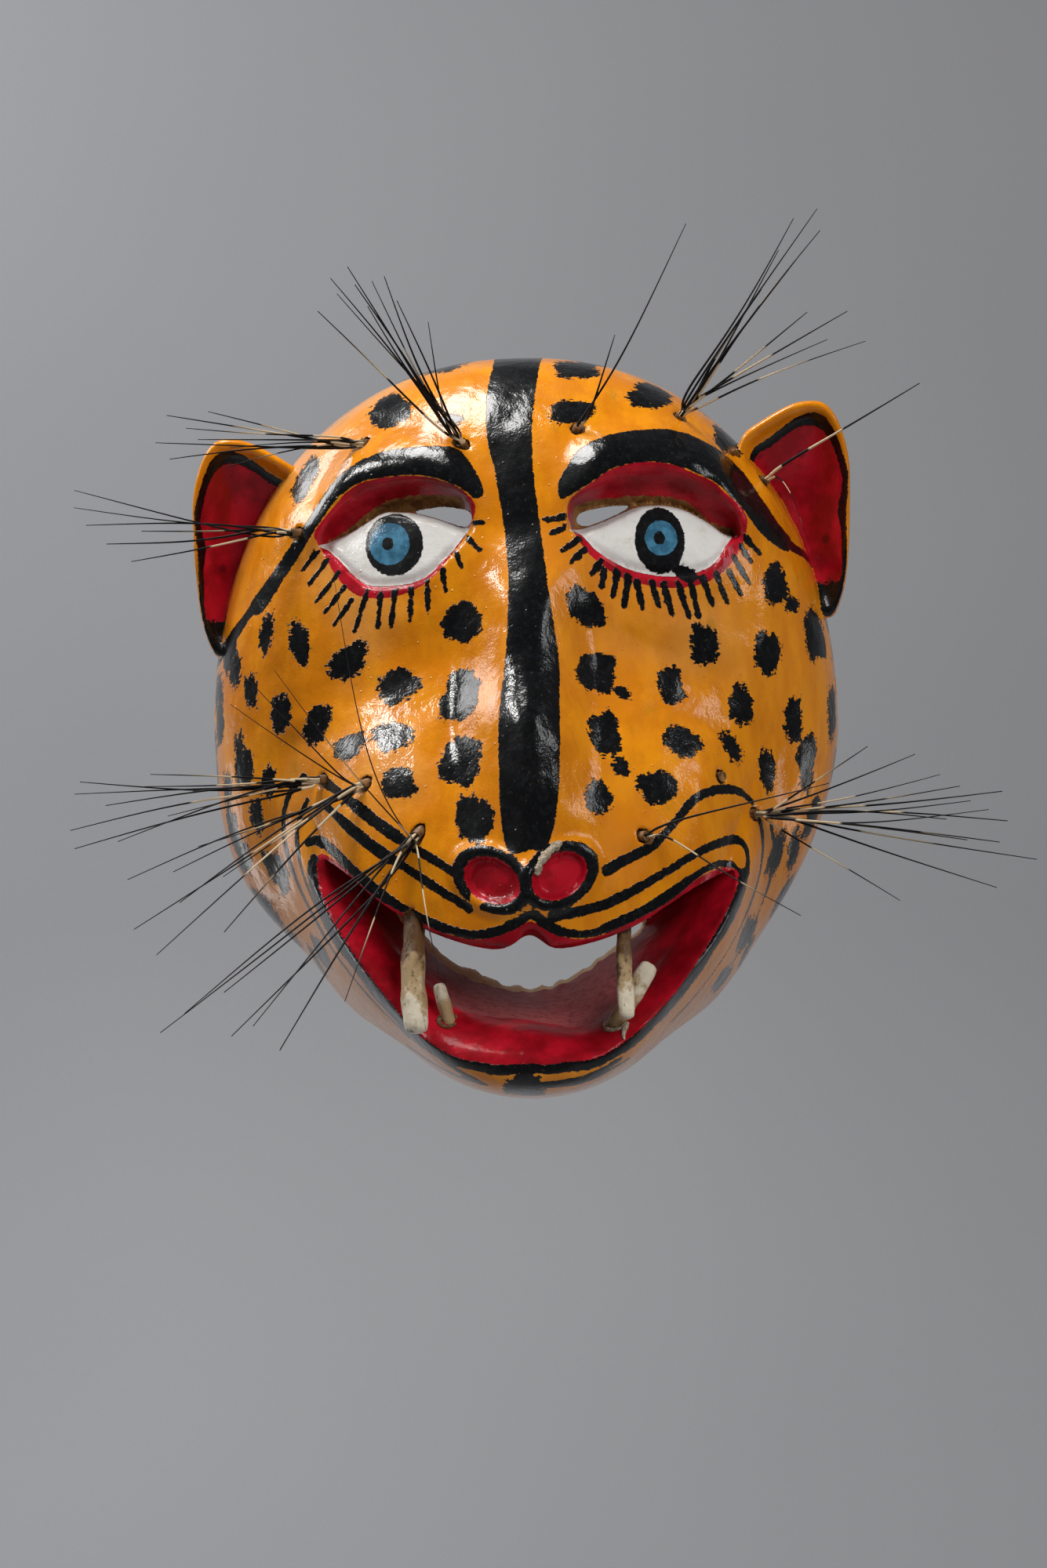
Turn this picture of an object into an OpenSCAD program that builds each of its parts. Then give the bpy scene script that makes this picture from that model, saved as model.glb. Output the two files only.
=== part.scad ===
// Carved wooden spotted-cat face mask with bristle whiskers and animal-tooth fangs.
// Frame: +Z up, the face looks along -Y, the flat back rim lies in the plane Y = 0.
// The origin is the middle of that plane, where the wearer's face sits.

/* [Shell] */
// Half width of the shell at the cheeks
half_w = 113; // [110:1:116]
// Height of the crown above the middle
crown_h = 136; // [132:1:140]
// Drop of the chin below the middle
chin_h = 126; // [124:1:130]
// Depth of the plain dome, before the features
dome_d = 76; // [70:1:80]
// Wall at the back rim
rim_wall = 10; // [8:0.5:12]
// Depth of the hollow under the dome
hollow_d = 63; // [56:1:64]

/* [Face] */
// Sideways place of each eye
eye_x = 44; // [42:1:46]
// Height of the eyes
eye_z = 66; // [64:1:68]
// Depth of the carved eye sockets
socket_d = 15; // [8:1:17]
// Rise of the brow ridges
brow_rise = 7; // [3:1:10]
// Reach of the upper lip in front of the rim
muzzle_reach = 118; // [114:1:122]
// Reach of the lower lip in front of the rim
lip_reach = 122; // [118:1:126]
// Half width of the mouth
mouth_w = 70; // [66:1:72]
// Height of the eye slits
slit_h = 7; // [5:0.5:8]

/* [Ears] */
// Thickness of the ear blades
ear_t = 7; // [5:0.5:8]
// How much higher the right ear sits
ear_lift = 9; // [0:1:10]

/* [Fittings] */
// Radius of the tie holes in the sides
tie_r = 2.5; // [1.5:0.25:3]
// Radius of the drilled whisker holes
hole_r = 2.9; // [2.8:0.1:3.2]
// Depth of the drilled whisker holes
hole_d = 8; // [6:0.5:9]
// Radius of the plugs that jam the bristles
plug_r = 1.7; // [1:0.1:1.8]
// Radius of a bristle at its root
bristle_r = 0.3; // [0.2:0.05:0.35]

/* [Hidden] */

// Steps round the shell, and steps from the middle to the rim outside and inside
round_n = 88;
out_n = 22;
in_n = 12;
tip_segments = 6;
paint = "goldenrod";
bone = "cornsilk";
plug_wood = "saddlebrown";
hair = "dimgray";

// Outline of one ear from its middle: outwards and upwards
EAR_EDGE = [
    [18, 6], [18, 13], [17, 20], [15, 27], [12.5, 32], [9, 35.5], [4, 36], [-2, 35], [-8, 32], [-14, 28.5],
    [-20, 24.5], [-22, 18], [-21, 10], [-18.5, 2], [-15.5, -6], [-12, -14], [-8, -22], [-3.5, -29], [1.5, -35],
    [6, -40], [10.5, -42], [13.5, -36], [16, -27], [17.5, -11]
];
// Ears: middle of each blade, steps round it and rings across it
ear_x = 98;
ear_z = 70;
ear_n = len(EAR_EDGE);
ear_rings = 5;

// Eye slits: middle, half width and height
slit_x = 33;
slit_w = 16;
slit_z = 74;

// Tie holes near the rim at temple height, the right one 4 mm higher
tie_x = 80;
tie_y = -14;
tie_z = 12;

// Fangs: where each leaves the carved wood, its tip, and its radius; the peg is sunk in the wood
peg = 7;
FANGS = [
    [[-38, -106, -66], [-38, -119, -98], 4.2],
    [[30.6, -107, -68], [30.4, -118, -95], 2.8],
    [[-26, -106, -103], [-31, -104, -83], 2.3],
    [[23, -107, -104], [39, -104, -78], 3.3]
];

// Whisker holes: x, z, tuft axis, number of bristles, their reach, and how far they fan out in degrees
WHISKERS = [
    [-20, 99, [-0.42, -0.60, 0.68], 10, 72, 11],
    [-54, 101, [-0.80, -0.60, 0.02], 8, 70, 9],
    [-79, 70, [-0.85, -0.50, -0.02], 6, 76, 9],
    [-70, -15, [-0.92, -0.38, -0.06], 10, 92, 8],
    [-55, -17, [-0.78, -0.56, -0.26], 10, 98, 16],
    [-37, -34, [-0.55, -0.62, -0.56], 10, 88, 18],
    [20, 104, [0.38, -0.50, 0.76], 2, 78, 2],
    [56, 109, [0.50, -0.50, 0.70], 10, 78, 13],
    [86, 87, [0.75, -0.55, 0.38], 2, 62, 14],
    [77, -30, [0.92, -0.38, -0.02], 14, 88, 12],
    [65, -17, [0.60, -0.80, 0.05], 0, 0, 0],
    [38, -36, [0.75, -0.62, 0.05], 2, 74, 16]
];

// Small shaping functions
function sq(v) = v * v;
function clamp01(v) = max(0, min(1, v));
function bump(d) = d >= 1 ? 0 : sq(1 - d * d);
function ease(a, b, v) = let(u = clamp01((v - a) / (b - a))) u * u * (3 - 2 * u);
function oval(x, z, cx, cz, a, b) = sqrt(sq((x - cx) / a) + sq((z - cz) / b));
function unit(v) = v / norm(v);
// Two triangles from a four-sided patch, cut along either diagonal
function split(a, b, c, d, first) = first ? [[a, b, c], [a, c, d]] : [[a, b, d], [b, c, d]];
function turned(faces) = [for (f = faces) [f[0], f[2], f[1]]];

// Outline of the back rim as a radius at each angle; it draws in beside the chin and
// the left cheek is a little fuller
function rim_r(a) =
    let(n = sin(a) > 0 ? 2.2 : 1.8, tall = sin(a) > 0 ? crown_h : chin_h,
        low = atan2(-sin(a), abs(cos(a))), fuller = cos(a) < 0 ? bump(abs(low - 25) / 25) : 0)
    (1 + 0.045 * fuller - 0.045 * bump(abs(low - 66) / 18))
    * pow(pow(abs(cos(a)) / half_w, n) + pow(abs(sin(a)) / tall, n), -1 / n);
function rim_drop(x) = -chin_h * pow(max(0.001, 1 - pow(min(abs(x) / half_w, 1), 1.8)), 1 / 1.8);

// Lower and upper edges of the mouth, and how far each lip stands out
function low_lip_z(x) = -108 + 52 * pow(min(abs(x) / mouth_w, 1.15), 2.2);
function up_lip_z(x) = -71 + 28 * pow(min(abs(x) / mouth_w, 1.15), 2.2) + 6 * bump(abs(x) / 7);
function low_lip_d(x) = lip_reach - 32 * sq(min(abs(x) / mouth_w, 1.2));
function up_lip_d(x) = muzzle_reach - 30 * sq(min(abs(x) / mouth_w, 1.2));

// Depth of the carved face in front of the rim plane at x, z
function dome(rho, depth) = depth * sqrt(max(0, 1 - pow(rho, 2.6)));
function nose(x, z) = (16 - 9 * ease(10, -40, z)) * bump(abs(x) / 26) * ease(75, 30, z);
function eyes(ax, z) =
    brow_rise * bump(abs(oval(ax, z, eye_x, eye_z, 33, 29) - 1) / 0.28) * ease(60, 72, z)
    - socket_d * bump(oval(ax, z, eye_x, eye_z, 30, 24))
    + (socket_d - 2) * bump(oval(ax, z, eye_x + 2, eye_z - 8, 25, 17));
function muzzle(x, z) =
    up_lip_d(x) - 38 * pow(max(0, z - up_lip_z(x)) / (22 - up_lip_z(x)), 1.8)
    - 3 * max(0, up_lip_z(x) - z);
function jaw(x, z) =
    let(lip = low_lip_z(x), t = clamp01((lip - z) / max(1, lip - rim_drop(x))),
        full = 4 - 2.8 * ease(12, 48, abs(x)))
    z < lip ? low_lip_d(x) * sqrt(max(0, 1 - pow(t, full))) : low_lip_d(x) - 0.6 * (z - lip);
function blend(a, b, t) = a + (b - a) * t;
function face_d(x, z) =
    let(ax = abs(x), rho = min(1, norm([x, z]) / rim_r(atan2(z, x))), plain = dome(rho, dome_d))
    max(plain + nose(x, z) + eyes(ax, z),
        blend(plain, muzzle(x, z) + nose(x, z), 1 - ease(55, 88, ax)),
        blend(plain, jaw(x, z), 1 - ease(64, 90, ax)));
function hollow_at(x, z, rho) = dome(rho, hollow_d) + 26 * bump(oval(x, z, 0, -34, 52, 46));
// The rim draws in a little behind the widest part, most of all under the chin
function tuck(a, d) = 1 - (0.02 + 0.07 * max(0, -sin(a))) * sq(1 - min(d / 45, 1));

function out_point(k, j) =
    let(a = 360 * k / round_n, r = pow(sin(90 * j / out_n), 0.85) * rim_r(a),
        x = r * cos(a), z = r * sin(a), d = j == out_n ? 0 : face_d(x, z), s = tuck(a, d))
    [x * s, -d, z * s];
function in_point(k, j) =
    let(a = 360 * k / round_n, rho = sin(90 * j / in_n), r = rho * (rim_r(a) * tuck(a, 0) - rim_wall),
        x = r * cos(a), z = r * sin(a))
    [x, j == in_n ? 0 : -hollow_at(x, z, rho), z];

module carved_block() {
    outside = [for (j = [1:out_n]) for (k = [0:round_n - 1]) out_point(k, j)];
    inside = [for (j = [1:in_n]) for (k = [0:round_n - 1]) in_point(k, j)];
    top = len(outside) + len(inside);
    at_in = len(outside);
    function o(j, k) = (j - 1) * round_n + (k % round_n);
    function i(j, k) = at_in + (j - 1) * round_n + (k % round_n);
    faces = [
        for (k = [0:round_n - 1]) [top, o(1, k), o(1, k + 1)],
        for (k = [0:round_n - 1]) [top + 1, i(1, k + 1), i(1, k)],
        for (j = [1:out_n - 1]) for (k = [0:round_n - 1]) each
            split(o(j, k), o(j + 1, k), o(j + 1, k + 1), o(j, k + 1), cos(360 * (k + 0.5) / round_n) < 0),
        for (j = [1:in_n - 1]) for (k = [0:round_n - 1]) each [
            [i(j, k), i(j + 1, k + 1), i(j + 1, k)], [i(j, k), i(j, k + 1), i(j + 1, k + 1)]],
        for (k = [0:round_n - 1]) each [
            [o(out_n, k), i(in_n, k), i(in_n, k + 1)], [o(out_n, k), i(in_n, k + 1), o(out_n, k + 1)]]
    ];
    middle = [[0, -face_d(0, 0), 0], [0, -hollow_at(0, 0, 0), 0]];
    polyhedron(concat(outside, inside, middle), turned(faces));
}

// One ear is a hollowed blade: a front bowl and a back face, ring by ring from its middle
function ear_ring(q, y, side) =
    [for (k = [0:ear_n - 1]) let(e = q * EAR_EDGE[(ear_n + side * k) % ear_n])
        [side * (ear_x + e[0]), y - 14 * q * q, e[1]]];

// side is 1 for the right ear and -1 for the left one
module ear(side) {
    front = [for (j = [1:ear_rings]) each ear_ring(j / ear_rings, -10, side)];
    back = [for (j = [1:ear_rings]) each ear_ring(j / ear_rings, ear_t - 10, side)];
    middle = [[side * ear_x, -10, 0], [side * ear_x, ear_t - 10, 0]];
    nf = len(front);
    function f(j, k) = (j - 1) * ear_n + (k % ear_n);
    function b(j, k) = nf + f(j, k);
    faces = [
        for (k = [0:ear_n - 1]) [2 * nf, f(1, k), f(1, k + 1)],
        for (k = [0:ear_n - 1]) [2 * nf + 1, b(1, k + 1), b(1, k)],
        for (j = [1:ear_rings - 1]) for (k = [0:ear_n - 1]) each [
            [f(j, k), f(j + 1, k), f(j + 1, k + 1)], [f(j, k), f(j + 1, k + 1), f(j, k + 1)],
            [b(j, k), b(j + 1, k + 1), b(j + 1, k)], [b(j, k), b(j, k + 1), b(j + 1, k + 1)]],
        for (k = [0:ear_n - 1]) each [
            [f(ear_rings, k), b(ear_rings, k), b(ear_rings, k + 1)],
            [f(ear_rings, k), b(ear_rings, k + 1), f(ear_rings, k + 1)]]
    ];
    polyhedron(concat(front, back, middle), turned(faces));
}

// The opening between the lips, narrower and higher towards the back
module mouth_space() {
    xs = [for (i = [-14:14]) mouth_w * i / 14];
    lips = concat([for (x = xs) [x, low_lip_z(x) + 1]], [for (i = [28:-1:0]) [xs[i], up_lip_z(xs[i])]]);
    floor_line = [[-140, -109], [-118, -107], [-56, -87], [-20, -84], [-20, 0], [-140, 0]];
    plan = [[-72, -140], [72, -140], [72, -84], [40, -58], [36, -20], [-36, -20], [-40, -58], [-72, -84]];
    intersection() {
        translate([0, -15, 0]) rotate([90, 0, 0]) linear_extrude(130) polygon(lips);
        translate([-80, 0, 0]) rotate([90, 0, 90]) linear_extrude(160) polygon(floor_line);
        translate([0, 0, -115]) linear_extrude(90) polygon(plan);
    }
}

// The crescent that the wearer looks through, above each eyeball
module eye_slit(side) {
    top = [for (i = [-8:8]) [slit_x + slit_w * i / 8, slit_z + 4 * (1 - sq(i / 8))]];
    low = [for (i = [7:-1:-7]) [slit_x + slit_w * i / 8, slit_z + (4 - slit_h) * (1 - sq(i / 8))]];
    translate([0, -15, 0]) rotate([90, 0, 0]) linear_extrude(80)
        polygon([for (p = concat(top, low)) [side * p[0], p[1]]]);
}

// Turns +Z towards d and moves to p
module along(p, d) {
    translate(p) rotate([0, acos(d[2]), atan2(d[1], d[0])]) children();
}

module fang(i) {
    f = FANGS[i];
    d = unit(f[1] - f[0]);
    long = norm(f[1] - f[0]) + peg;
    r = f[2];
    along(f[0] - peg * d, d) rotate_extrude($fn = 32)
        polygon([[0, 0], [r, 0], [r * 1.08, long * 0.35], [r * 0.9, long * 0.9], [r * 0.55, long], [0, long]]);
}

module fang_glue(i) {
    f = FANGS[i];
    along(f[0], unit(f[1] - f[0])) rotate_extrude($fn = 32)
        polygon([[0, -1], [f[2] + 2.2, -1], [f[2] + 1.2, 2.4], [0, 2.4]]);
}

// A whisker hole starts at the carved surface and runs back along its tuft's axis
function mouth_of(w) = [w[0], -face_d(w[0], w[1]), w[1]];
function root(w) = mouth_of(w) - hole_d * unit(w[2]);

module whisker_hole(w) {
    along(root(w), unit(w[2])) cylinder(r = hole_r, h = hole_d + 9, $fn = 24);
}

module plug(w) {
    color(plug_wood) along(root(w), unit(w[2])) cylinder(r = plug_r, h = hole_d + 0.6, $fn = 24);
}

// A bristle leaves the hole straight, then leans out from the axis and sags evenly
function lean_of(w, i) = tan(w[5] * (0.35 + 0.65 * ((i * 5) % w[3]) / w[3]));
function bristle_line(w, i) =
    let(d = unit(w[2]), u = unit(cross(d, [0, 0, 1])), v = cross(u, d), a = 360 * i / w[3],
        out = cos(a) * u + sin(a) * v, start = root(w) + (plug_r + hole_r) / 2 * out,
        reach = w[4] * (0.8 + 0.2 * ((i * 3) % w[3]) / w[3]))
    [start, for (k = [0:tip_segments]) let(t = reach * k / tip_segments)
        start + (hole_d + 3 + t) * d + lean_of(w, i) * t * out - [0, 0, 0.0008 * t * t]];
function bristle_points(w, i) =
    let(line = bristle_line(w, i), d = unit(w[2]), u = unit(cross(d, [0, 0, 1])), v = cross(u, d), n = len(line))
    [for (j = [0:n - 1]) for (c = [0:2]) let(r = bristle_r * (1 - 0.75 * max(0, j - 1) / (n - 2)))
        line[j] + r * (cos(120 * c) * u + sin(120 * c) * v)];
function bristle_faces(n, at) = concat(
    [[at, at + 2, at + 1], [at + 3 * n - 3, at + 3 * n - 2, at + 3 * n - 1]],
    [for (j = [0:n - 2]) for (c = [0:2]) let(p = at + 3 * j + c, q = at + 3 * j + (c + 1) % 3)
        each [[p, q, q + 3], [p, q + 3, p + 3]]]);

module bristles(w) {
    rings = tip_segments + 2;
    color(hair) polyhedron(
        [for (i = [0:w[3] - 1]) each bristle_points(w, i)],
        [for (i = [0:w[3] - 1]) each bristle_faces(rings, 3 * rings * i)]);
}

module glue_strip() {
    a = [1, -face_d(1, -48), -48];
    b = [10, -face_d(10, -37), -37];
    along(a, unit(b - a)) cylinder(r = 1.3, h = norm(b - a), $fn = 16);
}

module mask_shell() {
    color(paint) difference() {
        union() {
            carved_block();
            translate([0, 0, ear_z]) ear(-1);
            translate([0, 0, ear_z + ear_lift]) ear(1);
        }
        mouth_space();
        for (side = [-1, 1]) eye_slit(side);
        for (w = WHISKERS) whisker_hole(w);
        for (i = [0:3]) fang(i);
        for (i = [2, 3]) fang_glue(i);
        for (side = [-1, 1])
            translate([side * tie_x, tie_y, tie_z + 2 * side]) rotate([0, side * 90, 0])
                cylinder(r = tie_r, h = half_w / 2, $fn = 32);
        glue_strip();
    }
}

module upper_left_fang() { color(bone) fang(0); }
module upper_right_fang() { color(bone) fang(1); }
module lower_left_fang() { color(bone) fang(2); }
module lower_right_fang() { color(bone) fang(3); }
module nostril_glue_strip() { color("ivory") glue_strip(); }
module lower_left_fang_glue() { color("ivory") difference() { fang_glue(2); fang(2); } }
module lower_right_fang_glue() { color("ivory") difference() { fang_glue(3); fang(3); } }

mask_shell();
upper_left_fang();
upper_right_fang();
lower_left_fang();
lower_right_fang();
plug(WHISKERS[0]);  // left_brow_plug
plug(WHISKERS[1]);  // left_forehead_plug
plug(WHISKERS[2]);  // left_temple_plug
plug(WHISKERS[3]);  // left_muzzle_back_plug
plug(WHISKERS[4]);  // left_muzzle_middle_plug
plug(WHISKERS[5]);  // left_muzzle_front_plug
plug(WHISKERS[6]);  // right_brow_plug
plug(WHISKERS[7]);  // right_forehead_plug
plug(WHISKERS[8]);  // right_temple_plug
plug(WHISKERS[9]);  // right_muzzle_back_plug
plug(WHISKERS[10]);  // right_muzzle_middle_plug
plug(WHISKERS[11]);  // right_muzzle_front_plug
bristles(WHISKERS[0]);  // left_brow_bristles
bristles(WHISKERS[1]);  // left_forehead_bristles
bristles(WHISKERS[2]);  // left_temple_bristles
bristles(WHISKERS[3]);  // left_muzzle_back_bristles
bristles(WHISKERS[4]);  // left_muzzle_middle_bristles
bristles(WHISKERS[5]);  // left_muzzle_front_bristles
bristles(WHISKERS[6]);  // right_brow_bristles
bristles(WHISKERS[7]);  // right_forehead_bristles
bristles(WHISKERS[8]);  // right_temple_bristles
bristles(WHISKERS[9]);  // right_muzzle_back_bristles
bristles(WHISKERS[11]);  // right_muzzle_front_bristles
nostril_glue_strip();
lower_left_fang_glue();
lower_right_fang_glue();
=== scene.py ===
"""Carved wooden spotted-cat face mask, enamelled, with bristle whiskers and animal-tooth fangs."""
import math

import bmesh
import bpy
import numpy as np
from mathutils import Matrix, Vector


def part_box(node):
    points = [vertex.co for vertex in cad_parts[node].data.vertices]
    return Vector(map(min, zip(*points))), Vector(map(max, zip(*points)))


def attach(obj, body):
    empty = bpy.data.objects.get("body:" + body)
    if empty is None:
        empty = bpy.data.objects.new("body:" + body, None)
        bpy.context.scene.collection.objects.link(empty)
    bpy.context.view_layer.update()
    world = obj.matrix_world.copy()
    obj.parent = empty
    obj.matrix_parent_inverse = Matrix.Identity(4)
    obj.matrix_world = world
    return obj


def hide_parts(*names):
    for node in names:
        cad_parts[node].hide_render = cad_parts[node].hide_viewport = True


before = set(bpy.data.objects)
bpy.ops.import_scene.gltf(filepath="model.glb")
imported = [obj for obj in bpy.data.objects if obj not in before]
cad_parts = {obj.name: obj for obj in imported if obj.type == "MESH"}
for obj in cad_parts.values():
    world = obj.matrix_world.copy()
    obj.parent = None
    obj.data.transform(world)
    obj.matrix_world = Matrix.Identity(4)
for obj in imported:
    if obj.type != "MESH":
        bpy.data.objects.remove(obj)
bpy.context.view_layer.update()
MM = 0.001

# ---------------------------------------------------------------- carved shape, in millimetres
HALF_W, CROWN_H, CHIN_H, DOME_D, HOLLOW_D, RIM_WALL = 113.0, 136.0, 126.0, 76.0, 63.0, 10.0
MUZZLE_REACH, LIP_REACH, MOUTH_W = 118.0, 122.0, 70.0
EAR_X, EAR_Y, EAR_Z, EAR_LIFT, EAR_T, EAR_DISH = 98.0, -10.0, 70.0, 9.0, 7.0, 14.0


def bump(d):
    return np.where(d >= 1, 0.0, (1 - np.minimum(d, 1) ** 2) ** 2)


def ease(a, b, v):
    u = np.clip((v - a) / (b - a), 0, 1)
    return u * u * (3 - 2 * u)


def oval(x, z, cx, cz, a, b):
    return np.sqrt(((x - cx) / a) ** 2 + ((z - cz) / b) ** 2)


def rim_r(angle):
    """Radius of the back rim: drawn in beside the chin, a little fuller at the left cheek."""
    c, s = np.abs(np.cos(angle)), np.sin(angle)
    n = np.where(s > 0, 2.2, 1.8)
    tall = np.where(s > 0, CROWN_H, CHIN_H)
    low = np.degrees(np.arctan2(-s, c))
    fuller = np.where(np.cos(angle) < 0, bump(np.abs(low - 25) / 25), 0)
    shape = 1 + 0.045 * fuller - 0.045 * bump(np.abs(low - 66) / 18)
    return shape * ((c / HALF_W) ** n + (np.abs(s) / tall) ** n) ** (-1 / n)


def rim_drop(x):
    return -CHIN_H * np.maximum(0.001, 1 - np.minimum(np.abs(x) / HALF_W, 1) ** 1.8) ** (1 / 1.8)


def low_lip_z(x):
    return -108 + 52 * np.minimum(np.abs(x) / MOUTH_W, 1.15) ** 2.2


def up_lip_z(x):
    return -71 + 28 * np.minimum(np.abs(x) / MOUTH_W, 1.15) ** 2.2 + 6 * bump(np.abs(x) / 7)


def dome(rho, depth):
    """A rounded cap: its full depth in the middle, nothing at rho 1."""
    return depth * np.sqrt(np.maximum(0, 1 - np.minimum(rho, 1) ** 2.6))


def blended_top(a, b):
    """The higher of two surfaces, with the crease between them filled to a soft valley."""
    reach = 9.0
    return np.maximum(a, b) + np.maximum(reach - np.abs(a - b), 0) ** 2 / (4 * reach)


def nose(x, z):
    return (16 - 9 * ease(10, -40, z)) * bump(np.abs(x) / 26) * ease(75, 30, z)


def muzzle(x, z):
    lip = up_lip_z(x)
    reach = MUZZLE_REACH - 30 * np.minimum(np.abs(x) / MOUTH_W, 1.2) ** 2
    return reach - 38 * (np.maximum(0, z - lip) / (22 - lip)) ** 1.8 - 3 * np.maximum(0, lip - z)


def jaw(x, z):
    lip = low_lip_z(x)
    reach = LIP_REACH - 32 * np.minimum(np.abs(x) / MOUTH_W, 1.2) ** 2
    t = np.clip((lip - z) / np.maximum(1, lip - rim_drop(x)), 0, 1)
    full = 4 - 2.8 * ease(12, 48, np.abs(x))
    return np.where(z < lip, reach * np.sqrt(np.maximum(0, 1 - t ** full)), reach - 0.6 * (z - lip))


# Each eye: upper edge of the socket, lower edge of its red wall, upper and lower edge of the eyeball
EYES = {
    "left": dict(
        socket=[(-72, 66), (-68, 73), (-65, 78), (-60, 84), (-55, 87), (-48, 88), (-40, 88.5), (-32, 88),
                (-25, 85), (-20, 82), (-16, 77)],
        wall=[(-72, 65), (-66, 68), (-60, 71), (-55, 75), (-50, 79), (-45, 81), (-38, 82), (-30, 82),
              (-20, 80.5), (-16, 76)],
        top=[(-72, 64), (-68, 66), (-60, 69), (-55, 72), (-50, 75), (-47, 76.5), (-36, 75.5), (-30, 73.5),
             (-25, 71.5), (-19, 69), (-16, 69)],
        low=[(-72, 64), (-68, 65), (-62, 59), (-57, 53), (-52, 50), (-45, 50), (-38, 50.5), (-32, 53),
             (-27, 58), (-22, 63), (-19, 68), (-16, 69)]),
    "right": dict(
        socket=[(14, 76), (17, 80), (24, 84), (30, 89), (38, 91), (46, 91.5), (54, 90), (60, 87), (66, 85),
                (70, 80), (74, 76), (77, 68)],
        wall=[(14, 75), (19, 77), (25, 79), (35, 80), (45, 80.5), (52, 80), (58, 78), (62, 74), (66, 71),
              (72, 69), (77, 67)],
        top=[(14, 68), (20, 68), (26, 70), (32, 72.5), (38, 75.5), (43, 76.5), (50, 76.5), (56, 75),
             (60, 73), (65, 70), (70, 66), (77, 66)],
        low=[(14, 67), (20, 67), (23, 62), (28, 58), (35, 54), (42, 52), (50, 51), (58, 52), (65, 55),
             (69, 60), (71, 65), (77, 66)])}


def curve_z(points, x):
    """Height of a drawn line at x, rounded off between its points."""
    xs, zs = np.array(points, float).T
    spread = np.linspace(-2.0, 2.0, 5)
    return np.mean([np.interp(x + d, xs, zs) for d in spread], axis=0)


def eye_depth(x, z):
    """How far the sockets sink below the plain face, with the eyeballs standing in them."""
    total = np.zeros_like(x)
    for e in EYES.values():
        socket, wall, top, low = (curve_z(e[k], x) for k in ("socket", "wall", "top", "low"))
        x0, x1 = e["low"][0][0] + 1, e["low"][-1][0] - 1
        inside = ease(0, 4, x - x0) * ease(0, 3, x1 - x)
        sink = 11 * ease(0, 1, (socket - z) / np.maximum(3, 1.15 * (socket - wall)))
        sink = sink + 4 * ease(0, 3, wall - z)
        ball = 5.5 - 4.5 * np.sqrt(np.clip((top - z) / np.maximum(6, top - low), 0, 1))
        ball = ball + 1.2 * ease(4, 0, z - low)
        sink = sink + (ball - sink) * ease(1.2, -0.6, z - top)
        sink = sink * ease(-1.2, 0.2, z - low)
        total = total + np.where((z < socket) & (x > x0) & (x < x1), sink * inside, 0)
    return total


def brow_rise(x, z):
    """The ridges over the sockets, with a crest that stands out above the painted wall."""
    rise = np.zeros_like(x)
    for name, side in (("left", -1), ("right", 1)):
        edge = curve_z(EYES[name]["socket"], x)
        along = ease(8, 26, side * x) * ease(96, 70, side * x)
        rise = rise + 5.0 * along * bump(np.abs(z - edge - 5.5) / 15.0)
    return rise


NOSTRILS = [(-12.5, -49, 9.5, 7.0, -30), (9.5, -48, 9.5, 7.0, 30)]


def turned(x, z, cx, cz, degrees):
    c, s = math.cos(math.radians(degrees)), math.sin(math.radians(degrees))
    return (x - cx) * c + (z - cz) * s, -(x - cx) * s + (z - cz) * c


def nostril_shape(x, z):
    total = np.zeros_like(x)
    for cx, cz, a, b, tilt in NOSTRILS:
        u, v = turned(x, z, cx, cz, tilt)
        d = np.sqrt((u / a) ** 2 + (v / b) ** 2)
        total = total + 1.6 * bump(np.abs(d - 1.25) / 0.55) - 2.2 * ease(1.05, 0.75, d)
    return total


def waves(x, z, length, seed):
    """Smooth unevenness of hand carving, mostly between -1 and 1."""
    rng = np.random.default_rng(seed)
    total = np.zeros_like(x)
    for _ in range(7):
        angle, phase = rng.uniform(0, math.tau, 2)
        k = math.tau / (length * rng.uniform(0.7, 1.5))
        total = total + np.sin(k * (x * math.cos(angle) + z * math.sin(angle)) + phase)
    return total / 7 ** 0.5 / 1.6


def face_d(x, z):
    """Depth of the carved face in front of the rim plane."""
    ax = np.abs(x)
    rho = np.minimum(1, np.hypot(x, z) / rim_r(np.arctan2(z, x)))
    plain = dome(rho, DOME_D)
    brow = plain + nose(x, z) + brow_rise(x, z)
    snout = plain + (muzzle(x, z) + nose(x, z) - plain) * (1 - ease(55, 88, ax))
    chin = plain + (jaw(x, z) - plain) * (1 - ease(64, 90, ax))
    crease = ease(-4, 6, z) * ease(90, 75, ax)
    upper = np.maximum(brow, snout)
    upper = upper + (blended_top(brow, snout) - upper) * crease
    whole = np.maximum(upper, chin)
    carving = 0.55 * waves(x, z, 34, 3) + 0.22 * waves(x, z, 13, 8)
    return np.maximum(0, whole - eye_depth(x, z) + nostril_shape(x, z) + carving * ease(1, 0.9, rho))


def hollow_at(x, z, rho):
    """Depth of the hollow in front of the rim plane, deeper behind the muzzle."""
    return dome(rho, HOLLOW_D) + 26 * bump(oval(x, z, 0, -34, 52, 46))


def tuck(angle, d):
    """How the outline narrows behind the face towards the rim, most of all under the chin."""
    return 1 - (0.02 + 0.07 * np.maximum(0, -np.sin(angle))) * (1 - np.minimum(d / 45, 1)) ** 2


# ---------------------------------------------------------------- mesh helpers
def grid_faces(rows, cols, start=0):
    """Quads between consecutive closed rings of vertices."""
    j, k = np.meshgrid(np.arange(rows - 1), np.arange(cols), indexing="ij")
    a = start + j * cols + k
    b = start + j * cols + (k + 1) % cols
    return np.stack([a, b, b + cols, a + cols], -1).reshape(-1, 4).tolist()


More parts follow.
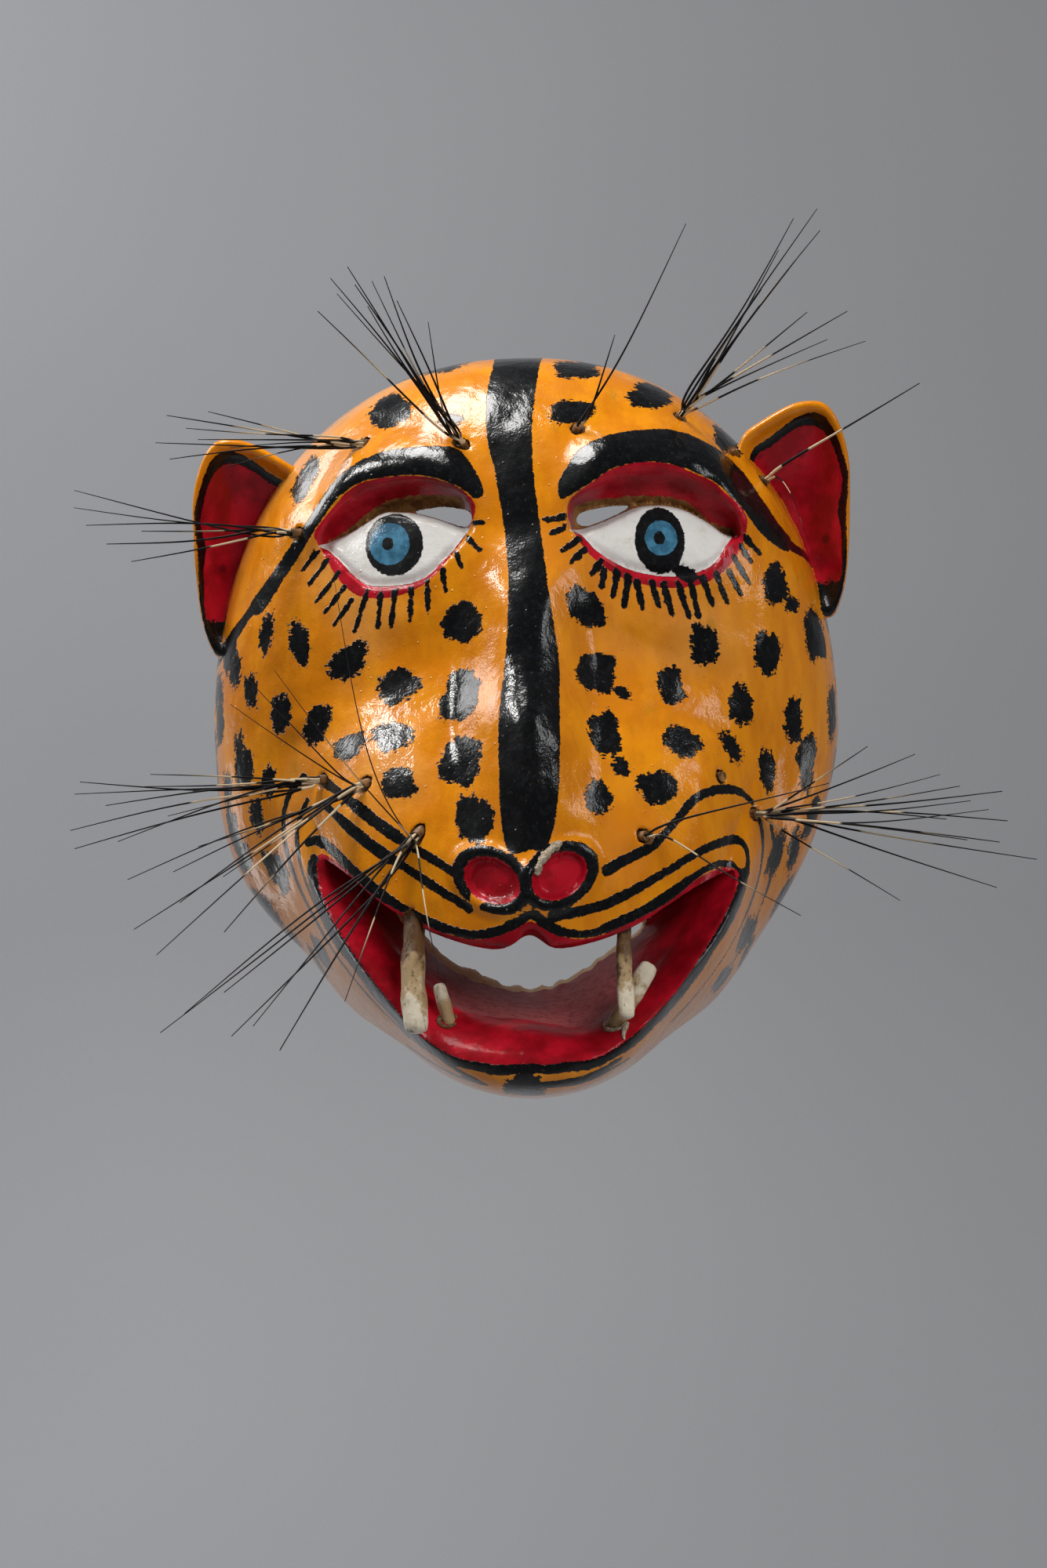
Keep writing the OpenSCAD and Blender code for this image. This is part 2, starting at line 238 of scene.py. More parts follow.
def make_object(name, points, faces, materials, face_slots=0):
    """A mesh object from points in millimetres, with its faces turned outwards."""
    mesh = bpy.data.meshes.new(name)
    mesh.from_pydata((np.asarray(points, float) * MM).tolist(), [], faces)
    for m in materials:
        mesh.materials.append(m)
    slots = np.broadcast_to(face_slots, len(mesh.polygons)).astype(np.int32)
    mesh.polygons.foreach_set("material_index", slots)
    bm = bmesh.new()
    bm.from_mesh(mesh)
    bmesh.ops.recalc_face_normals(bm, faces=bm.faces)
    bm.to_mesh(mesh)
    bm.free()
    mesh.polygons.foreach_set("use_smooth", np.ones(len(mesh.polygons), bool))
    mesh.update()
    obj = bpy.data.objects.new(name, mesh)
    bpy.context.scene.collection.objects.link(obj)
    return obj


def closed_body(name, rings, materials, face_slots=0, ends=None):
    """A closed mesh through rings of points, with both end rings filled to a middle point."""
    rings = np.asarray(rings, float)
    rows, cols = rings.shape[:2]
    if ends is None:
        ends = rings[[0, -1]].mean(1)
    faces = [[rows * cols, k, (k + 1) % cols] for k in range(cols)]
    faces += grid_faces(rows, cols)
    last = (rows - 1) * cols
    faces += [[rows * cols + 1, last + k, last + (k + 1) % cols] for k in range(cols)]
    points = np.concatenate([rings.reshape(-1, 3), ends])
    return make_object(name, points, faces, materials, face_slots)


def unit(v):
    return np.asarray(v, float) / np.linalg.norm(v)


def side_axes(d):
    u = unit(np.cross(d, [0, 0, 1]))
    return u, np.cross(u, d)


def ring_around(centre, u, v, radii):
    """A ring of points in the plane of u and v, with a radius for each of them."""
    a = math.tau * np.arange(len(radii)) / len(radii)
    return centre + radii[:, None] * (np.cos(a)[:, None] * u + np.sin(a)[:, None] * v)


def at_depth(xz, y):
    """Points of the front view placed at a depth."""
    return np.stack([xz[:, 0], np.broadcast_to(y, len(xz)), xz[:, 1]], -1)


def add_layer(mesh, name, values):
    """A named value on each vertex, for the materials to read."""
    layer = mesh.attributes.new(name, "FLOAT", "POINT")
    layer.data.foreach_set("value", np.asarray(values, np.float32))


def points_of(mesh):
    co = np.empty(len(mesh.vertices) * 3)
    mesh.vertices.foreach_get("co", co)
    return co.reshape(-1, 3) / MM


def apply_modifiers(obj):
    dg = bpy.context.evaluated_depsgraph_get()
    mesh = bpy.data.meshes.new_from_object(obj.evaluated_get(dg))
    obj.modifiers.clear()
    obj.data = mesh


def combine(obj, tool, operation):
    """Joins or cuts with another closed mesh, and drops that mesh."""
    m = obj.modifiers.new("carve", "BOOLEAN")
    m.operation, m.object, m.solver = operation, tool, "MANIFOLD"
    apply_modifiers(obj)
    bpy.data.objects.remove(tool)


# ---------------------------------------------------------------- the carved block
def out_rings(cols, rows):
    """Rings of the outer skin, from near the middle to the rim."""
    angle = math.tau * np.arange(cols) / cols
    j = np.arange(1, rows + 1)[:, None] / rows
    r = np.sin(math.pi / 2 * j) ** 0.85 * rim_r(angle)
    x, z = r * np.cos(angle), r * np.sin(angle)
    d = np.where(j == 1, 0, face_d(x, z))
    s = tuck(angle, d)
    return np.stack([x * s, -d, z * s], -1)


def in_rings(cols, rows):
    """Rings of the hollow, from near the middle to the rim."""
    angle = math.tau * np.arange(cols) / cols
    j = np.arange(1, rows + 1)[:, None] / rows
    rho = np.sin(math.pi / 2 * j) + 0 * angle
    r = rho * (rim_r(angle) * tuck(angle, 0) - RIM_WALL)
    x, z = r * np.cos(angle), r * np.sin(angle)
    gouges = 0.5 * waves(x, z, 9, 21) + 0.5 * waves(x, z, 22, 5)
    d = np.where(j == 1, 0, hollow_at(x, z, rho) + gouges * ease(1, 0.8, rho))
    return np.stack([x, -d, z], -1)


# Material slots of the head; HEAD_MATERIALS has them in the same order
SKIN, WOOD, MOUTH, EAR = range(4)


def carved_block():
    """The block before any cut: the skin out to the rim, then the hollow back to its middle."""
    cols, rows, in_rows = 500, 150, 60
    rings = np.concatenate([out_rings(cols, rows), in_rings(cols, in_rows)[::-1]])
    ends = [[0, -face_d(np.zeros(1), np.zeros(1))[0], 0], [0, -hollow_at(0.0, 0.0, 0.0), 0]]
    slots = [SKIN] * rows * cols + [WOOD] * (in_rows + 1) * cols
    return closed_body("head_carving", rings, HEAD_MATERIALS, slots, ends)


# Outline of one ear from its middle: outwards, upwards
EAR_EDGE = [(18, 6), (18, 13), (17, 20), (15, 27), (12.5, 32), (9, 35.5), (4, 36), (-2, 35), (-8, 32),
    (-14, 28.5), (-20, 24.5), (-22, 18), (-21, 10), (-18.5, 2), (-15.5, -6), (-12, -14), (-8, -22),
    (-3.5, -29), (1.5, -35), (6, -40), (10.5, -42), (13.5, -36), (16, -27), (17.5, -11)]


def ear_blade(side):
    """A hollowed leaf: a front bowl out to the edge, then its back face to the middle again."""
    cols, rows = 120, 26
    q = np.sin(math.pi / 2 * np.arange(1, rows + 1) / rows)[:, None]
    edge = resample(EAR_EDGE, cols, closed=True)
    x, z = side * (EAR_X + q * edge[:, 0]), q * edge[:, 1]
    lift = EAR_Z + (EAR_LIFT if side > 0 else 0)
    y = EAR_Y - EAR_DISH * q ** 2 + 0.5 * waves(x, z, 15, 4)
    lip = 1.6 * bump(np.abs(q - 0.93) / 0.12)
    round_off = EAR_T * 0.5 * (1 - np.sqrt(np.maximum(0, 1 - np.clip((q - 0.9) / 0.1, 0, 1) ** 2)))
    front = np.stack([x, y - lip + round_off, z + lift], -1)
    back = np.stack([x, y + EAR_T - round_off, z + lift], -1)
    ends = [[side * EAR_X, EAR_Y, lift], [side * EAR_X, EAR_Y + EAR_T, lift]]
    return closed_body("ear_blade", np.concatenate([front, back[::-1]]), HEAD_MATERIALS, EAR, ends)


# Edges of the mouth at the lips, and of the torn opening at its back
MOUTH_LOW = [(-72, -45), (-71, -52), (-67, -61), (-60, -72), (-52, -83), (-45, -92), (-40, -98),
    (-33, -103), (-25, -107), (-15, -108.5), (0, -109), (10, -108.5), (20, -108), (28, -104), (35, -99),
    (42, -93), (50, -84), (58, -73), (64, -64), (69, -55), (70, -51)]
MOUTH_UP = [(69, -48), (62, -50), (55, -53), (45, -59), (35, -65), (25, -69), (15, -71.5), (7, -72),
    (3, -69), (0, -67), (-3, -67.5), (-6, -70), (-11, -72), (-18, -71), (-25, -69), (-33, -66), (-40, -62),
    (-50, -56), (-60, -47), (-70, -41)]
THROAT_LOW = [(-38, -66), (-37, -69), (-34, -72), (-30, -77), (-25, -80), (-20, -82), (-14, -85), (-5, -88),
    (0, -89), (8, -87), (14, -84), (21, -80), (27, -76), (31, -73), (35, -71), (38, -68)]
THROAT_UP = [(38, -60), (20, -62), (0, -60), (-20, -62), (-38, -58)]
THROAT_Y = -58.0


def resample(points, count, closed=False):
    """Evenly spaced points along a line, after rounding its corners."""
    p = np.array(points, float)
    for _ in range(2):
        q = np.roll(p, -1, 0) if closed else p[1:]
        base = p if closed else p[:-1]
        cut = np.stack([0.75 * base + 0.25 * q, 0.25 * base + 0.75 * q], 1).reshape(-1, p.shape[1])
        p = cut if closed else np.concatenate([p[:1], cut, p[-1:]])
    if closed:
        p = np.concatenate([p, p[:1]])
    s = np.concatenate([[0], np.cumsum(np.linalg.norm(np.diff(p, axis=0), axis=1))])
    at = np.linspace(0, s[-1], count + 1)[:-1] if closed else np.linspace(0, s[-1], count)
    return np.stack([np.interp(at, s, c) for c in p.T], -1)


def mouth_tool():
    """The mouth as a closed body: straight in front of the lips, then drawn in to the torn throat."""
    n_low, n_up, steps = 260, 200, 56
    in_front, behind = -150.0, -12.0
    lips = np.concatenate([resample(MOUTH_LOW, n_low), resample(MOUTH_UP, n_up)])
    throat = np.concatenate([resample(THROAT_LOW, n_low), resample(THROAT_UP, n_up)])
    place = np.arange(n_low + n_up)
    lower = place < n_low
    torn = 1.1 * waves(throat[:, 0], throat[:, 1], 5, 11) * np.sin(math.pi * place / n_low) * lower
    lip_y = -face_d(lips[:, 0], lips[:, 1])
    rings = [at_depth(lips, in_front)]
    for t in np.linspace(0, 1, steps) ** 1.3:
        pull = np.where(lower, t ** (0.5 + 0.3 * ease(-5, 20, lips[:, 0])), t)
        line = lips + (throat - lips) * pull[:, None]
        line[:, 1] += 1.1 * bump(np.abs(t - 0.19) / 0.17) * lower + torn * ease(0.90, 1.0, t)
        rings.append(at_depth(line, lip_y * (1 - t) + THROAT_Y * t))
    throat[:, 1] += torn
    rings.append(at_depth(throat, behind))
    return closed_body("mouth_space", rings, HEAD_MATERIALS, MOUTH)


# The gaps that the wearer looks through, between each eyeball and its socket's ceiling
SLITS = [[(-38, 76.5), (-33, 77.3), (-28, 78), (-22, 77.3), (-17.5, 76), (-17, 73.5), (-17, 71),
          (-20, 70.6), (-25, 72.4), (-30, 74.4)],
         [(18.5, 71), (19, 74), (22, 75.2), (26, 76.2), (30, 76.8), (34, 77), (38, 77.2), (33, 74.2),
          (27, 71.6), (22, 69.8)]]


def slit_tool(outline):
    """A closed body with a drawn outline, straight along Y."""
    edge = resample(outline, 90, closed=True)
    rings = [at_depth(edge, y) for y in np.linspace(-110, -20, 24)]
    return closed_body("eye_slit", rings, HEAD_MATERIALS, WOOD)


def lathe(name, start, axis, profile, sides=32, wobble=0.0, seed=1):
    """A closed turned body: profile holds (distance along the axis, radius) pairs."""
    d = unit(axis)
    u, v = side_axes(d)
    rng = np.random.default_rng(seed)
    rings = [ring_around(np.add(start, t * d), u, v, r * (1 + wobble * rng.normal(size=sides)))
             for t, r in profile]
    return closed_body(name, rings, HEAD_MATERIALS, WOOD)


# ---------------------------------------------------------------- painted lines and areas, x and z in mm
# Paint is stored as the depth inside its edge, up to this many millimetres either way
FAR = 9.0
X_AXIS, Y_AXIS, Z_AXIS = np.eye(3)
STRIPE_L = [(-8, 150), (-8.5, 133), (-8.5, 130), (-11, 120), (-11.5, 110), (-11.5, 100), (-9, 90),
    (-7.5, 80), (-5, 60), (-5, 45), (-6, 30), (-7, 20), (-8.5, 10), (-9.5, 0), (-9.5, -20), (-9, -32),
    (-7.5, -40), (-4, -41)]
STRIPE_R = [(0, -39), (5, -40.5), (8.5, -32), (10, -20), (10.5, -10), (11, 0), (11, 10), (11.5, 20),
    (10.5, 30), (8.5, 45), (7, 60), (5, 80), (4, 90), (4, 100), (4.5, 110), (6, 120), (7.5, 130), (9, 133),
    (9, 150)]
BROW_L = [(-12.5, 80), (-13, 84), (-16, 90), (-19, 95), (-22, 98), (-30, 98.5), (-40, 98), (-47, 97.5),
    (-55, 94.5), (-60, 91.5), (-65, 87), (-70, 80), (-75, 72), (-80, 66), (-85, 59), (-90, 53), (-96, 46),
    (-92, 41), (-86, 49), (-80, 58), (-76, 63), (-72, 69.5), (-67, 76.5), (-62, 83), (-57, 85), (-50, 87.2),
    (-40, 88), (-30, 87.6), (-25, 85), (-20, 82), (-17, 79)]
BROW_R = [(12.5, 77.5), (12.3, 84), (14, 87), (17, 92), (20, 96), (25, 99), (30, 101), (40, 103),
    (50, 103.5), (58, 102.5), (65, 99), (72, 95), (78, 89), (82, 82), (86, 76), (90, 70), (95, 65),
    (93, 60), (87, 63), (82, 67), (78, 73), (73, 78), (68, 84), (60, 87.5), (54, 90), (46, 91.5), (38, 91),
    (30, 88.5), (24, 84), (18, 80.5)]
# Long strokes: (half width, points)
STROKES = [
    (1.8, [(2, -116.2), (9, -115.6), (16, -114.0), (22, -111.9), (28, -108.6)]),
    (2.0, [(-33, -105.0), (-28, -109.3), (-22, -113.0), (-16.5, -115.6)]),
    (2.9, [(-88, 52), (-95, 44), (-100, 38), (-105, 33), (-110, 28), (-112, 24), (-112.5, 18)]),
    (2.6, [(90, 66), (95, 62.5), (100, 61), (105, 58), (108, 53), (110.5, 46), (112, 36)]),
    (2.0, [(-68, -16), (-60, -22), (-50, -30), (-40, -37), (-30, -43), (-24, -47)]),
    (1.9, [(-68, -24), (-60, -31), (-50, -39), (-40, -45), (-30, -52), (-20, -58)]),
    (1.8, [(-75, -36), (-70, -35), (-60, -44), (-50, -53), (-40, -59), (-30, -64), (-20, -67), (-12, -66),
           (-5, -63), (0, -60)]),
    (1.7, [(25, -47), (30, -44), (40, -40), (45, -35), (50, -30), (55, -24), (60, -22), (66, -21),
           (72, -22), (76, -26)]),
    (1.7, [(7, -61), (15, -60), (25, -58), (35, -53), (45, -48), (55, -42), (65, -38.5), (71, -38),
           (74, -43), (73, -52), (70, -60), (65, -68), (58, -77), (50, -88), (43, -96)]),
    (1.7, [(1, -60), (5, -64), (12, -67), (20, -67.5), (28, -64), (38, -60), (48, -54), (55, -49),
           (62, -46), (68, -46), (70, -49)]),
    (1.7, [(-76, -14), (-81, -18), (-84, -26), (-84, -36), (-81, -47), (-76, -58), (-66, -74), (-54, -89),
           (-42, -101)]),
    (1.5, [(-75, -22), (-79, -30), (-79, -39), (-76, -51), (-69, -64), (-60, -77), (-50, -90)]),
    (1.4, [(78, -30), (80, -38), (79, -50), (74, -63), (66, -76), (57, -88), (46, -99)]),
    (1.2, [(83, -34), (85, -44), (82, -57), (76, -70), (68, -82), (58, -93)]),
    (1.5, [(-42, -106), (-33, -110.5), (-25, -113.5), (-18, -115.5)]),
    (1.6, [(0, -116), (10, -116.5), (18, -115), (25, -112), (31, -109)]),
]
# Lashes: x, z at the lid, then x, z near the tip
LASHES_L = [(-70, 64, -75, 58), (-67, 60, -73, 52.5), (-63, 55.5, -70, 47), (-61, 50.5, -67, 43),
    (-58.5, 46, -64, 38.5), (-53, 49, -57, 37), (-48.5, 48, -49.5, 37.5), (-43.5, 49, -45, 37.5),
    (-38, 50, -38.5, 39.5), (-32.5, 53, -32.5, 42), (-27.5, 57.5, -26.5, 49), (-23, 62, -21, 56.5),
    (-19, 66.5, -15, 62), (-17, 71, -13.5, 71)]
LASHES_R = [(14.5, 72.5, 8.5, 71.5), (16.5, 69.5, 10.5, 67), (19.5, 65, 14, 61), (21, 61, 16.5, 57),
    (26.5, 57, 23.5, 53), (27.5, 54, 26.5, 49), (32, 54, 30.5, 46), (35.5, 51.5, 34, 42.5),
    (38.5, 49.5, 40, 41.5), (43.5, 49.5, 45.5, 42), (47.5, 49, 50, 39.5), (52.5, 49, 55.5, 39),
    (57, 49, 59, 39), (61, 51, 64, 42.5), (66, 52, 69, 43.5), (70.5, 53, 74, 46), (72.5, 58, 77, 50),
    (75, 62, 78, 57.5), (76.5, 65.5, 81, 60.5)]
# Spots: centre x, centre z, width, height, tilt in degrees, all as seen from the front
SPOTS = [
    (-21, 37, 14, 13, 10), (-22, 12, 12, 18, -15), (-22, -10, 13, 17, -15), (-18, -29, 12, 16, 10),
    (-89, 36, 5, 13, -8), (-77, 32, 7, 15, 5), (-60, 25, 16, 10, 35), (-43, 16, 15, 11, 25),
    (-101, 24, 5, 12, 0), (-95, 16, 5, 12, 0), (-108, 17, 4, 12, 0), (-84, 8, 7, 14, 0),
    (-71, 4, 8, 15, -20), (-60, -4, 11, 8, 25), (-45, -1, 14, 9, 5), (-43, -17, 12, 10, 0),
    (-100, -3, 3.6, 11, 0), (-111, -2, 3, 13, 0), (-89, -15, 5, 11, 0), (-94, -27, 5, 12, 8),
    (-105, -17, 4, 10, 0), (-100, -41, 6, 13, 12), (-86, -47, 6, 14, 15), (-93, -60, 6, 12, 20),
    (-75, 90, 7, 17, -25), (-45, 113, 15, 12, 15), (-27, 130, 17, 5, 8), (-24, 108, 8, 5, 0),
    (-72, -74, 6, 12, 35), (-84, -72, 5, 11, 25),
    (21, 41, 15, 11, -40), (24, 19, 14, 13, -25), (26, -2, 10, 16, 15), (23, -23, 9, 11, 20),
    (87, 49, 9, 14, 5), (61, 28, 10, 14, 0), (83, 25, 9, 15, 5), (101, 32, 8, 17, 5), (49, 14, 9, 13, 5),
    (73, 7, 8, 14, 0), (92, 2, 7, 15, -3), (52, -5, 14, 9, -25), (69, -7, 5, 12, 30), (43, -20, 13, 11, 0),
    (82, -15, 6, 14, 5), (110, 33, 3, 18, 0), (107, 3, 3, 16, 0), (97, -16, 5, 14, -5), (85, -44, 5, 16, -20),
    (92, -43, 4, 15, -10), (74, -71, 6, 14, -35), (20, 127, 16, 8, 0), (18, 110, 15, 9, 5),
    (46, 117, 16, 11, 5), (73, 101, 9, 13, 30), (84, 97, 5, 16, 35), (56, 127, 13, 5, -15),
    (65, -86, 6, 11, -40), (96, -56, 4, 12, -15), (-3.5, -116.8, 13.5, 9.5, 0),
]
# Small tails where the brush left a spot: centre and size as for the spots
TAILS = [(32, 12, 7, 4, -30), (31, -13, 5, 7, 15), (93, 42, 5, 6, -30), (56, 52, 8, 5, -35)]
# Spots on the flanks, behind the front view: side, y, z, width along y, height
FLANK_SPOTS = [(s, y, z, w, h) for s in (-1, 1) for y, z, w, h in (
    (-14, 40, 10, 14), (-30, 30, 9, 13), (-24, 6, 10, 15), (-42, -10, 9, 14), (-14, -14, 10, 13),
    (-30, -32, 10, 15), (-12, -42, 9, 14), (-46, -46, 9, 12), (-26, -60, 10, 14), (-10, -70, 9, 12),
    (-10, 100, 9, 11), (-40, -78, 9, 12))]
TOP_SPOTS = [(-38, -12, 11), (-20, -8, 11), (-58, -9, 10), (26, -12, 11), (46, -7, 11), (64, -11, 10)]
CHIN_SPOTS = [(-30, -60, 10), (-14, -36, 11), (16, -42, 11), (34, -66, 10), (-40, -30, 10), (40, -30, 10),
              (-3, -69, 9), (-20, -14, 10), (22, -14, 10)]


def on_face(x, z):
    """Points of the carved face for lists of x and z."""
    x, z = np.atleast_1d(np.asarray(x, float)), np.atleast_1d(np.asarray(z, float))
    d = face_d(x, z)
    s = tuck(np.arctan2(z, x), d)
    return np.stack([x * s, -d, z * s], -1)


def nearest(p, q):
    """Distance from each point of p to the closest of q, and which one that is."""
    d2 = np.full(len(p), 1e9)
    which = np.zeros(len(p), int)
    near = np.flatnonzero(((p > q.min(0) - FAR) & (p < q.max(0) + FAR)).all(1))
    for i, c in enumerate(q):
        d = ((p[near] - c) ** 2).sum(1)
        less = d < d2[near]
        d2[near[less]] = d[less]
        which[near[less]] = i
    return np.sqrt(d2), which


def stroke(p, line_xz, half, taper=0.0, seed=0):
    """Signed depth inside a brush stroke drawn on the face; positive inside."""
    length = np.linalg.norm(np.diff(line_xz, axis=0), axis=1).sum()
    xz = resample(line_xz, max(8, int(1.3 * length)))
    d, i = nearest(p, on_face(xz[:, 0], xz[:, 1]))
    t = i / (len(xz) - 1)
    width = half * (1 - taper * t ** 2) * (1 + 0.14 * np.sin(9 * t + seed) + 0.08 * np.sin(23 * t + 2 * seed))
    return width - d


def inside_area(x, z, outline):
    """Signed distance inside a closed outline in the front view; positive inside."""
    q = resample(outline, 6 * len(outline), closed=True)
    best = np.full(x.shape, 1e9)
    inside = np.zeros(x.shape, bool)
    for (ax, az), (bx, bz) in zip(q, np.roll(q, -1, 0)):
        ex, ez = bx - ax, bz - az
        t = np.clip(((x - ax) * ex + (z - az) * ez) / max(1e-9, ex * ex + ez * ez), 0, 1)
        best = np.minimum(best, (x - ax - t * ex) ** 2 + (z - az - t * ez) ** 2)
        if az != bz:
            inside ^= ((az > z) != (bz > z)) & (x < (bx - ax) * (z - az) / (bz - az) + ax)
    return np.where(inside, 1, -1) * np.sqrt(best)


def uneven_oval(u, v, seed):
    """How far a point lies inside a brushed oval of radius one, with wavering edges."""
    angle = np.arctan2(v, u)
    rng = np.random.default_rng(seed)
    uneven = sum(h * np.sin(n * angle + rng.uniform(0, math.tau))
                 for n, h in ((2, 0.05), (3, 0.06), (4, 0.05), (7, 0.035), (11, 0.03)))
    return 1 + uneven - (np.abs(u) ** 2.4 + np.abs(v) ** 2.4) ** (1 / 2.4)


def blob(p, centre, along, across, a, b, seed):
    """A brushed spot in the plane of two directions at its centre."""
    r = p - centre
    near = np.linalg.norm(r, axis=1) < 3 * max(a, b)
    return np.where(near, uneven_oval(r @ along / a, r @ across / b, seed) * min(a, b), -FAR)


def spot(p, x, z, width, height, tilt, seed):
    """A spot with its size as seen from the front, kept from smearing down the flanks."""
    r = p - on_face(x, z)[0]
    u, v = turned(p[:, 0], p[:, 2], x, z, tilt)
    a, b = width / 2, height / 2
    reach = 1.7 * max(a, b) - np.linalg.norm(r, axis=1)
    return np.minimum(uneven_oval(u / a, v / b, seed) * min(a, b), reach)


def side_point(side, y, z):
    """The widest point of the carving at a height, for a given depth behind the face."""
    xs = side * np.linspace(20, 116, 400)
    reached = face_d(xs, np.full(400, float(z))) > -y
    return on_face(xs[np.flatnonzero(reached)[-1]], z)[0]


def cap_point(up, x, y):
    """The highest or lowest point of the carving beside its middle, for a given depth."""
    zs = up * np.linspace(40, 140, 400)
    reached = face_d(np.full(400, float(x)), zs) > -y
    return on_face(x, zs[np.flatnonzero(reached)[-1]])[0]


def highest(*fields):
    return np.maximum.reduce(fields)


def eye_paint(x, z, name):
    """White of the eye and bare ceiling of one socket."""
    e = EYES[name]
    wall, top, low = (curve_z(e[k], x) for k in ("wall", "top", "low"))
    x0, x1 = e["low"][0][0], e["low"][-1][0]
    span = np.minimum(x - x0, x1 - x)
    white = np.minimum(np.minimum(top - z + 0.4, z - low - 0.2), 0.7 * span - 1.5)
    bare = np.minimum(np.minimum(wall - z, z - top - 0.5), span - 3.5)
    return white, bare


# Outer edge of the red paint round each eye
RIMS = {"left": [(-72, 69), (-70, 66), (-65, 56), (-60, 49.5), (-55, 46.5), (-48, 45.8), (-40, 47), (-34, 50),
                 (-29, 54), (-25, 59), (-20, 65), (-17, 71), (-15, 77), (-19, 82), (-25, 85), (-32, 87.6),
                 (-40, 88.2), (-48, 87.7), (-55, 86.6), (-60, 83.6), (-65, 77.8), (-69, 73)],
        "right": [(15, 75), (16.5, 69), (20, 62), (26, 56), (32, 51.5), (40, 48.5), (50, 47), (60, 48),
                  (68, 52), (74, 59), (77, 66), (78, 72), (75, 77), (70, 80.5), (66, 85), (60, 87),
                  (54, 90), (46, 91.5), (38, 91), (30, 88.6), (24, 83.8), (17, 79.5)]}
# Centre and half sizes of each black disc, then of the blue one in it
IRISES = [(-43.6, 64.6, 9.9, 10.8, -45.3, 64.9, 6.9, 7.4), (46.8, 64, 8.6, 11.6, 47.3, 64.8, 5.6, 6.2)]
IRIS_DRIP = [(50, 54), (53, 56), (57.5, 53.5), (58.5, 51.5), (54, 51), (51, 52.5)]


def mouth_line(x, z):
    """The black line that follows the outer edge of the mouth from corner to corner."""
    lip = inside_area(x, z, MOUTH_LOW + MOUTH_UP)
    lower = z - np.interp(x, [-72, -60, -40, 0, 40, 60, 70], [-40, -57, -78, -86, -78, -60, -48])
    wide = 1.6 + 0.2 * ease(20, 50, np.abs(x)) + 0.3 * waves(x, z, 20, 31)
    gap = 0.5 * ease(24, 8, np.abs(x)) * ease(-0.2, 0.4, waves(x, z, 14, 32))
    return np.minimum(wide - np.abs(lip + gap + wide - 0.2), -lower), np.minimum(lip + 0.2 + gap, -lower)


def spot_field(p):
    """Signed depth of all the black spots: front, flanks, crown and underside of the chin."""
    spots = np.full(len(p), -FAR)
    for i, s in enumerate(SPOTS + TAILS):
        spots = highest(spots, spot(p, *s, 100 + i))
    hidden = [(side_point(side, y, z), Y_AXIS, Z_AXIS, w / 2, h / 2, 300 + i)
              for i, (side, y, z, w, h) in enumerate(FLANK_SPOTS)]
    hidden += [(cap_point(1, x, y), X_AXIS, Y_AXIS, w / 2, w / 2.3, 400 + i)
               for i, (x, y, w) in enumerate(TOP_SPOTS)]
    hidden += [(cap_point(-1, x, y), X_AXIS, Y_AXIS, w / 2, w / 2, 500 + i)
               for i, (x, y, w) in enumerate(CHIN_SPOTS)]
    for h in hidden:
        spots = highest(spots, blob(p, *h))
    return spots


def skin_fields(p):
    """Signed depth of each paint at each point of the painted skin."""
    x, z = p[:, 0], p[:, 2]
    line, red = mouth_line(x, z)
    red = np.where(p[:, 1] < -60, red, -FAR)
    black = highest(line, *(inside_area(x, z, area) for area in (STRIPE_L + STRIPE_R, BROW_L, BROW_R)))
    for i, (half, points) in enumerate(STROKES):
        black = highest(black, stroke(p, points, half, 0.25, i))
    for cx, cz, a, b, tilt in NOSTRILS:
        u, v = turned(x, z, cx, cz, tilt)
        d = np.sqrt((u / a) ** 2 + (v / b) ** 2)
        gap = 3 * bump(np.hypot(x + 17.5, z + 55) / 3.5)
        black = highest(black, 1.5 - np.abs(d - 1.24) * b - gap)
        red = highest(red, (1.06 - d) * b)
    white, blue, bare = (np.full(len(p), -FAR) for _ in range(3))
    for name, gap in (("left", 0.3), ("right", 0.0)):
        w, wood = eye_paint(x, z, name)
        rim = inside_area(x, z, RIMS[name])
        black = np.where(rim > -2, np.minimum(black, -rim - gap), black)
        white, red, bare = highest(white, w), highest(red, rim), highest(bare, wood)
    for half, lashes in ((1.05, LASHES_L), (1.30, LASHES_R)):
        for j, (x0, z0, x1, z1) in enumerate(lashes):
            mid = ((x0 + x1) / 2, (z0 + z1) / 2 - 0.2)
            end = (x1 + 0.12 * (x1 - x0), z1 + 0.12 * (z1 - z0))
            lash = stroke(p, [(x0, z0), mid, end], half, 0.2, j)
            black = highest(black, np.where(white > -0.6, -FAR, lash))
    for cx, cz, a, b, bx, bz, ba, bb in IRISES:
        black = highest(black, np.minimum((1 - oval(x, z, cx, cz, a, b)) * a, white + 3))
        blue = highest(blue, (1 - oval(x, z, bx, bz, ba, bb)) * ba)
        pupil = (1 - oval(x, z, bx - 0.6, bz, 2.0, 2.3)) * 2
        blue = np.where(pupil > -2, np.minimum(blue, -pupil), blue)
    black = highest(black, inside_area(x, z, IRIS_DRIP))
    red = highest(red, inside_area(x, z, LIP_RED))
    # Peach weight, partly faded paint and partly painted sheen: strongest on the left side and the brow top,
    # in a patch below the right eye and on the lower flanks
    fade_and_sheen = 0.15 + 0.85 * ease(15, -35, x) * ease(-75, -30, z) + 0.5 * ease(78, 96, z)
    fade_and_sheen = fade_and_sheen + 0.6 * bump(np.hypot(x - 60, z - 28) / 24)
    fade_and_sheen = np.clip(fade_and_sheen + 0.7 * ease(-60, -85, z) * ease(45, 60, np.abs(x)), 0, 1)
    return dict(black=black, spots=spot_field(p), red=red, white=white, blue=blue, bare=bare, fade_and_sheen=fade_and_sheen)


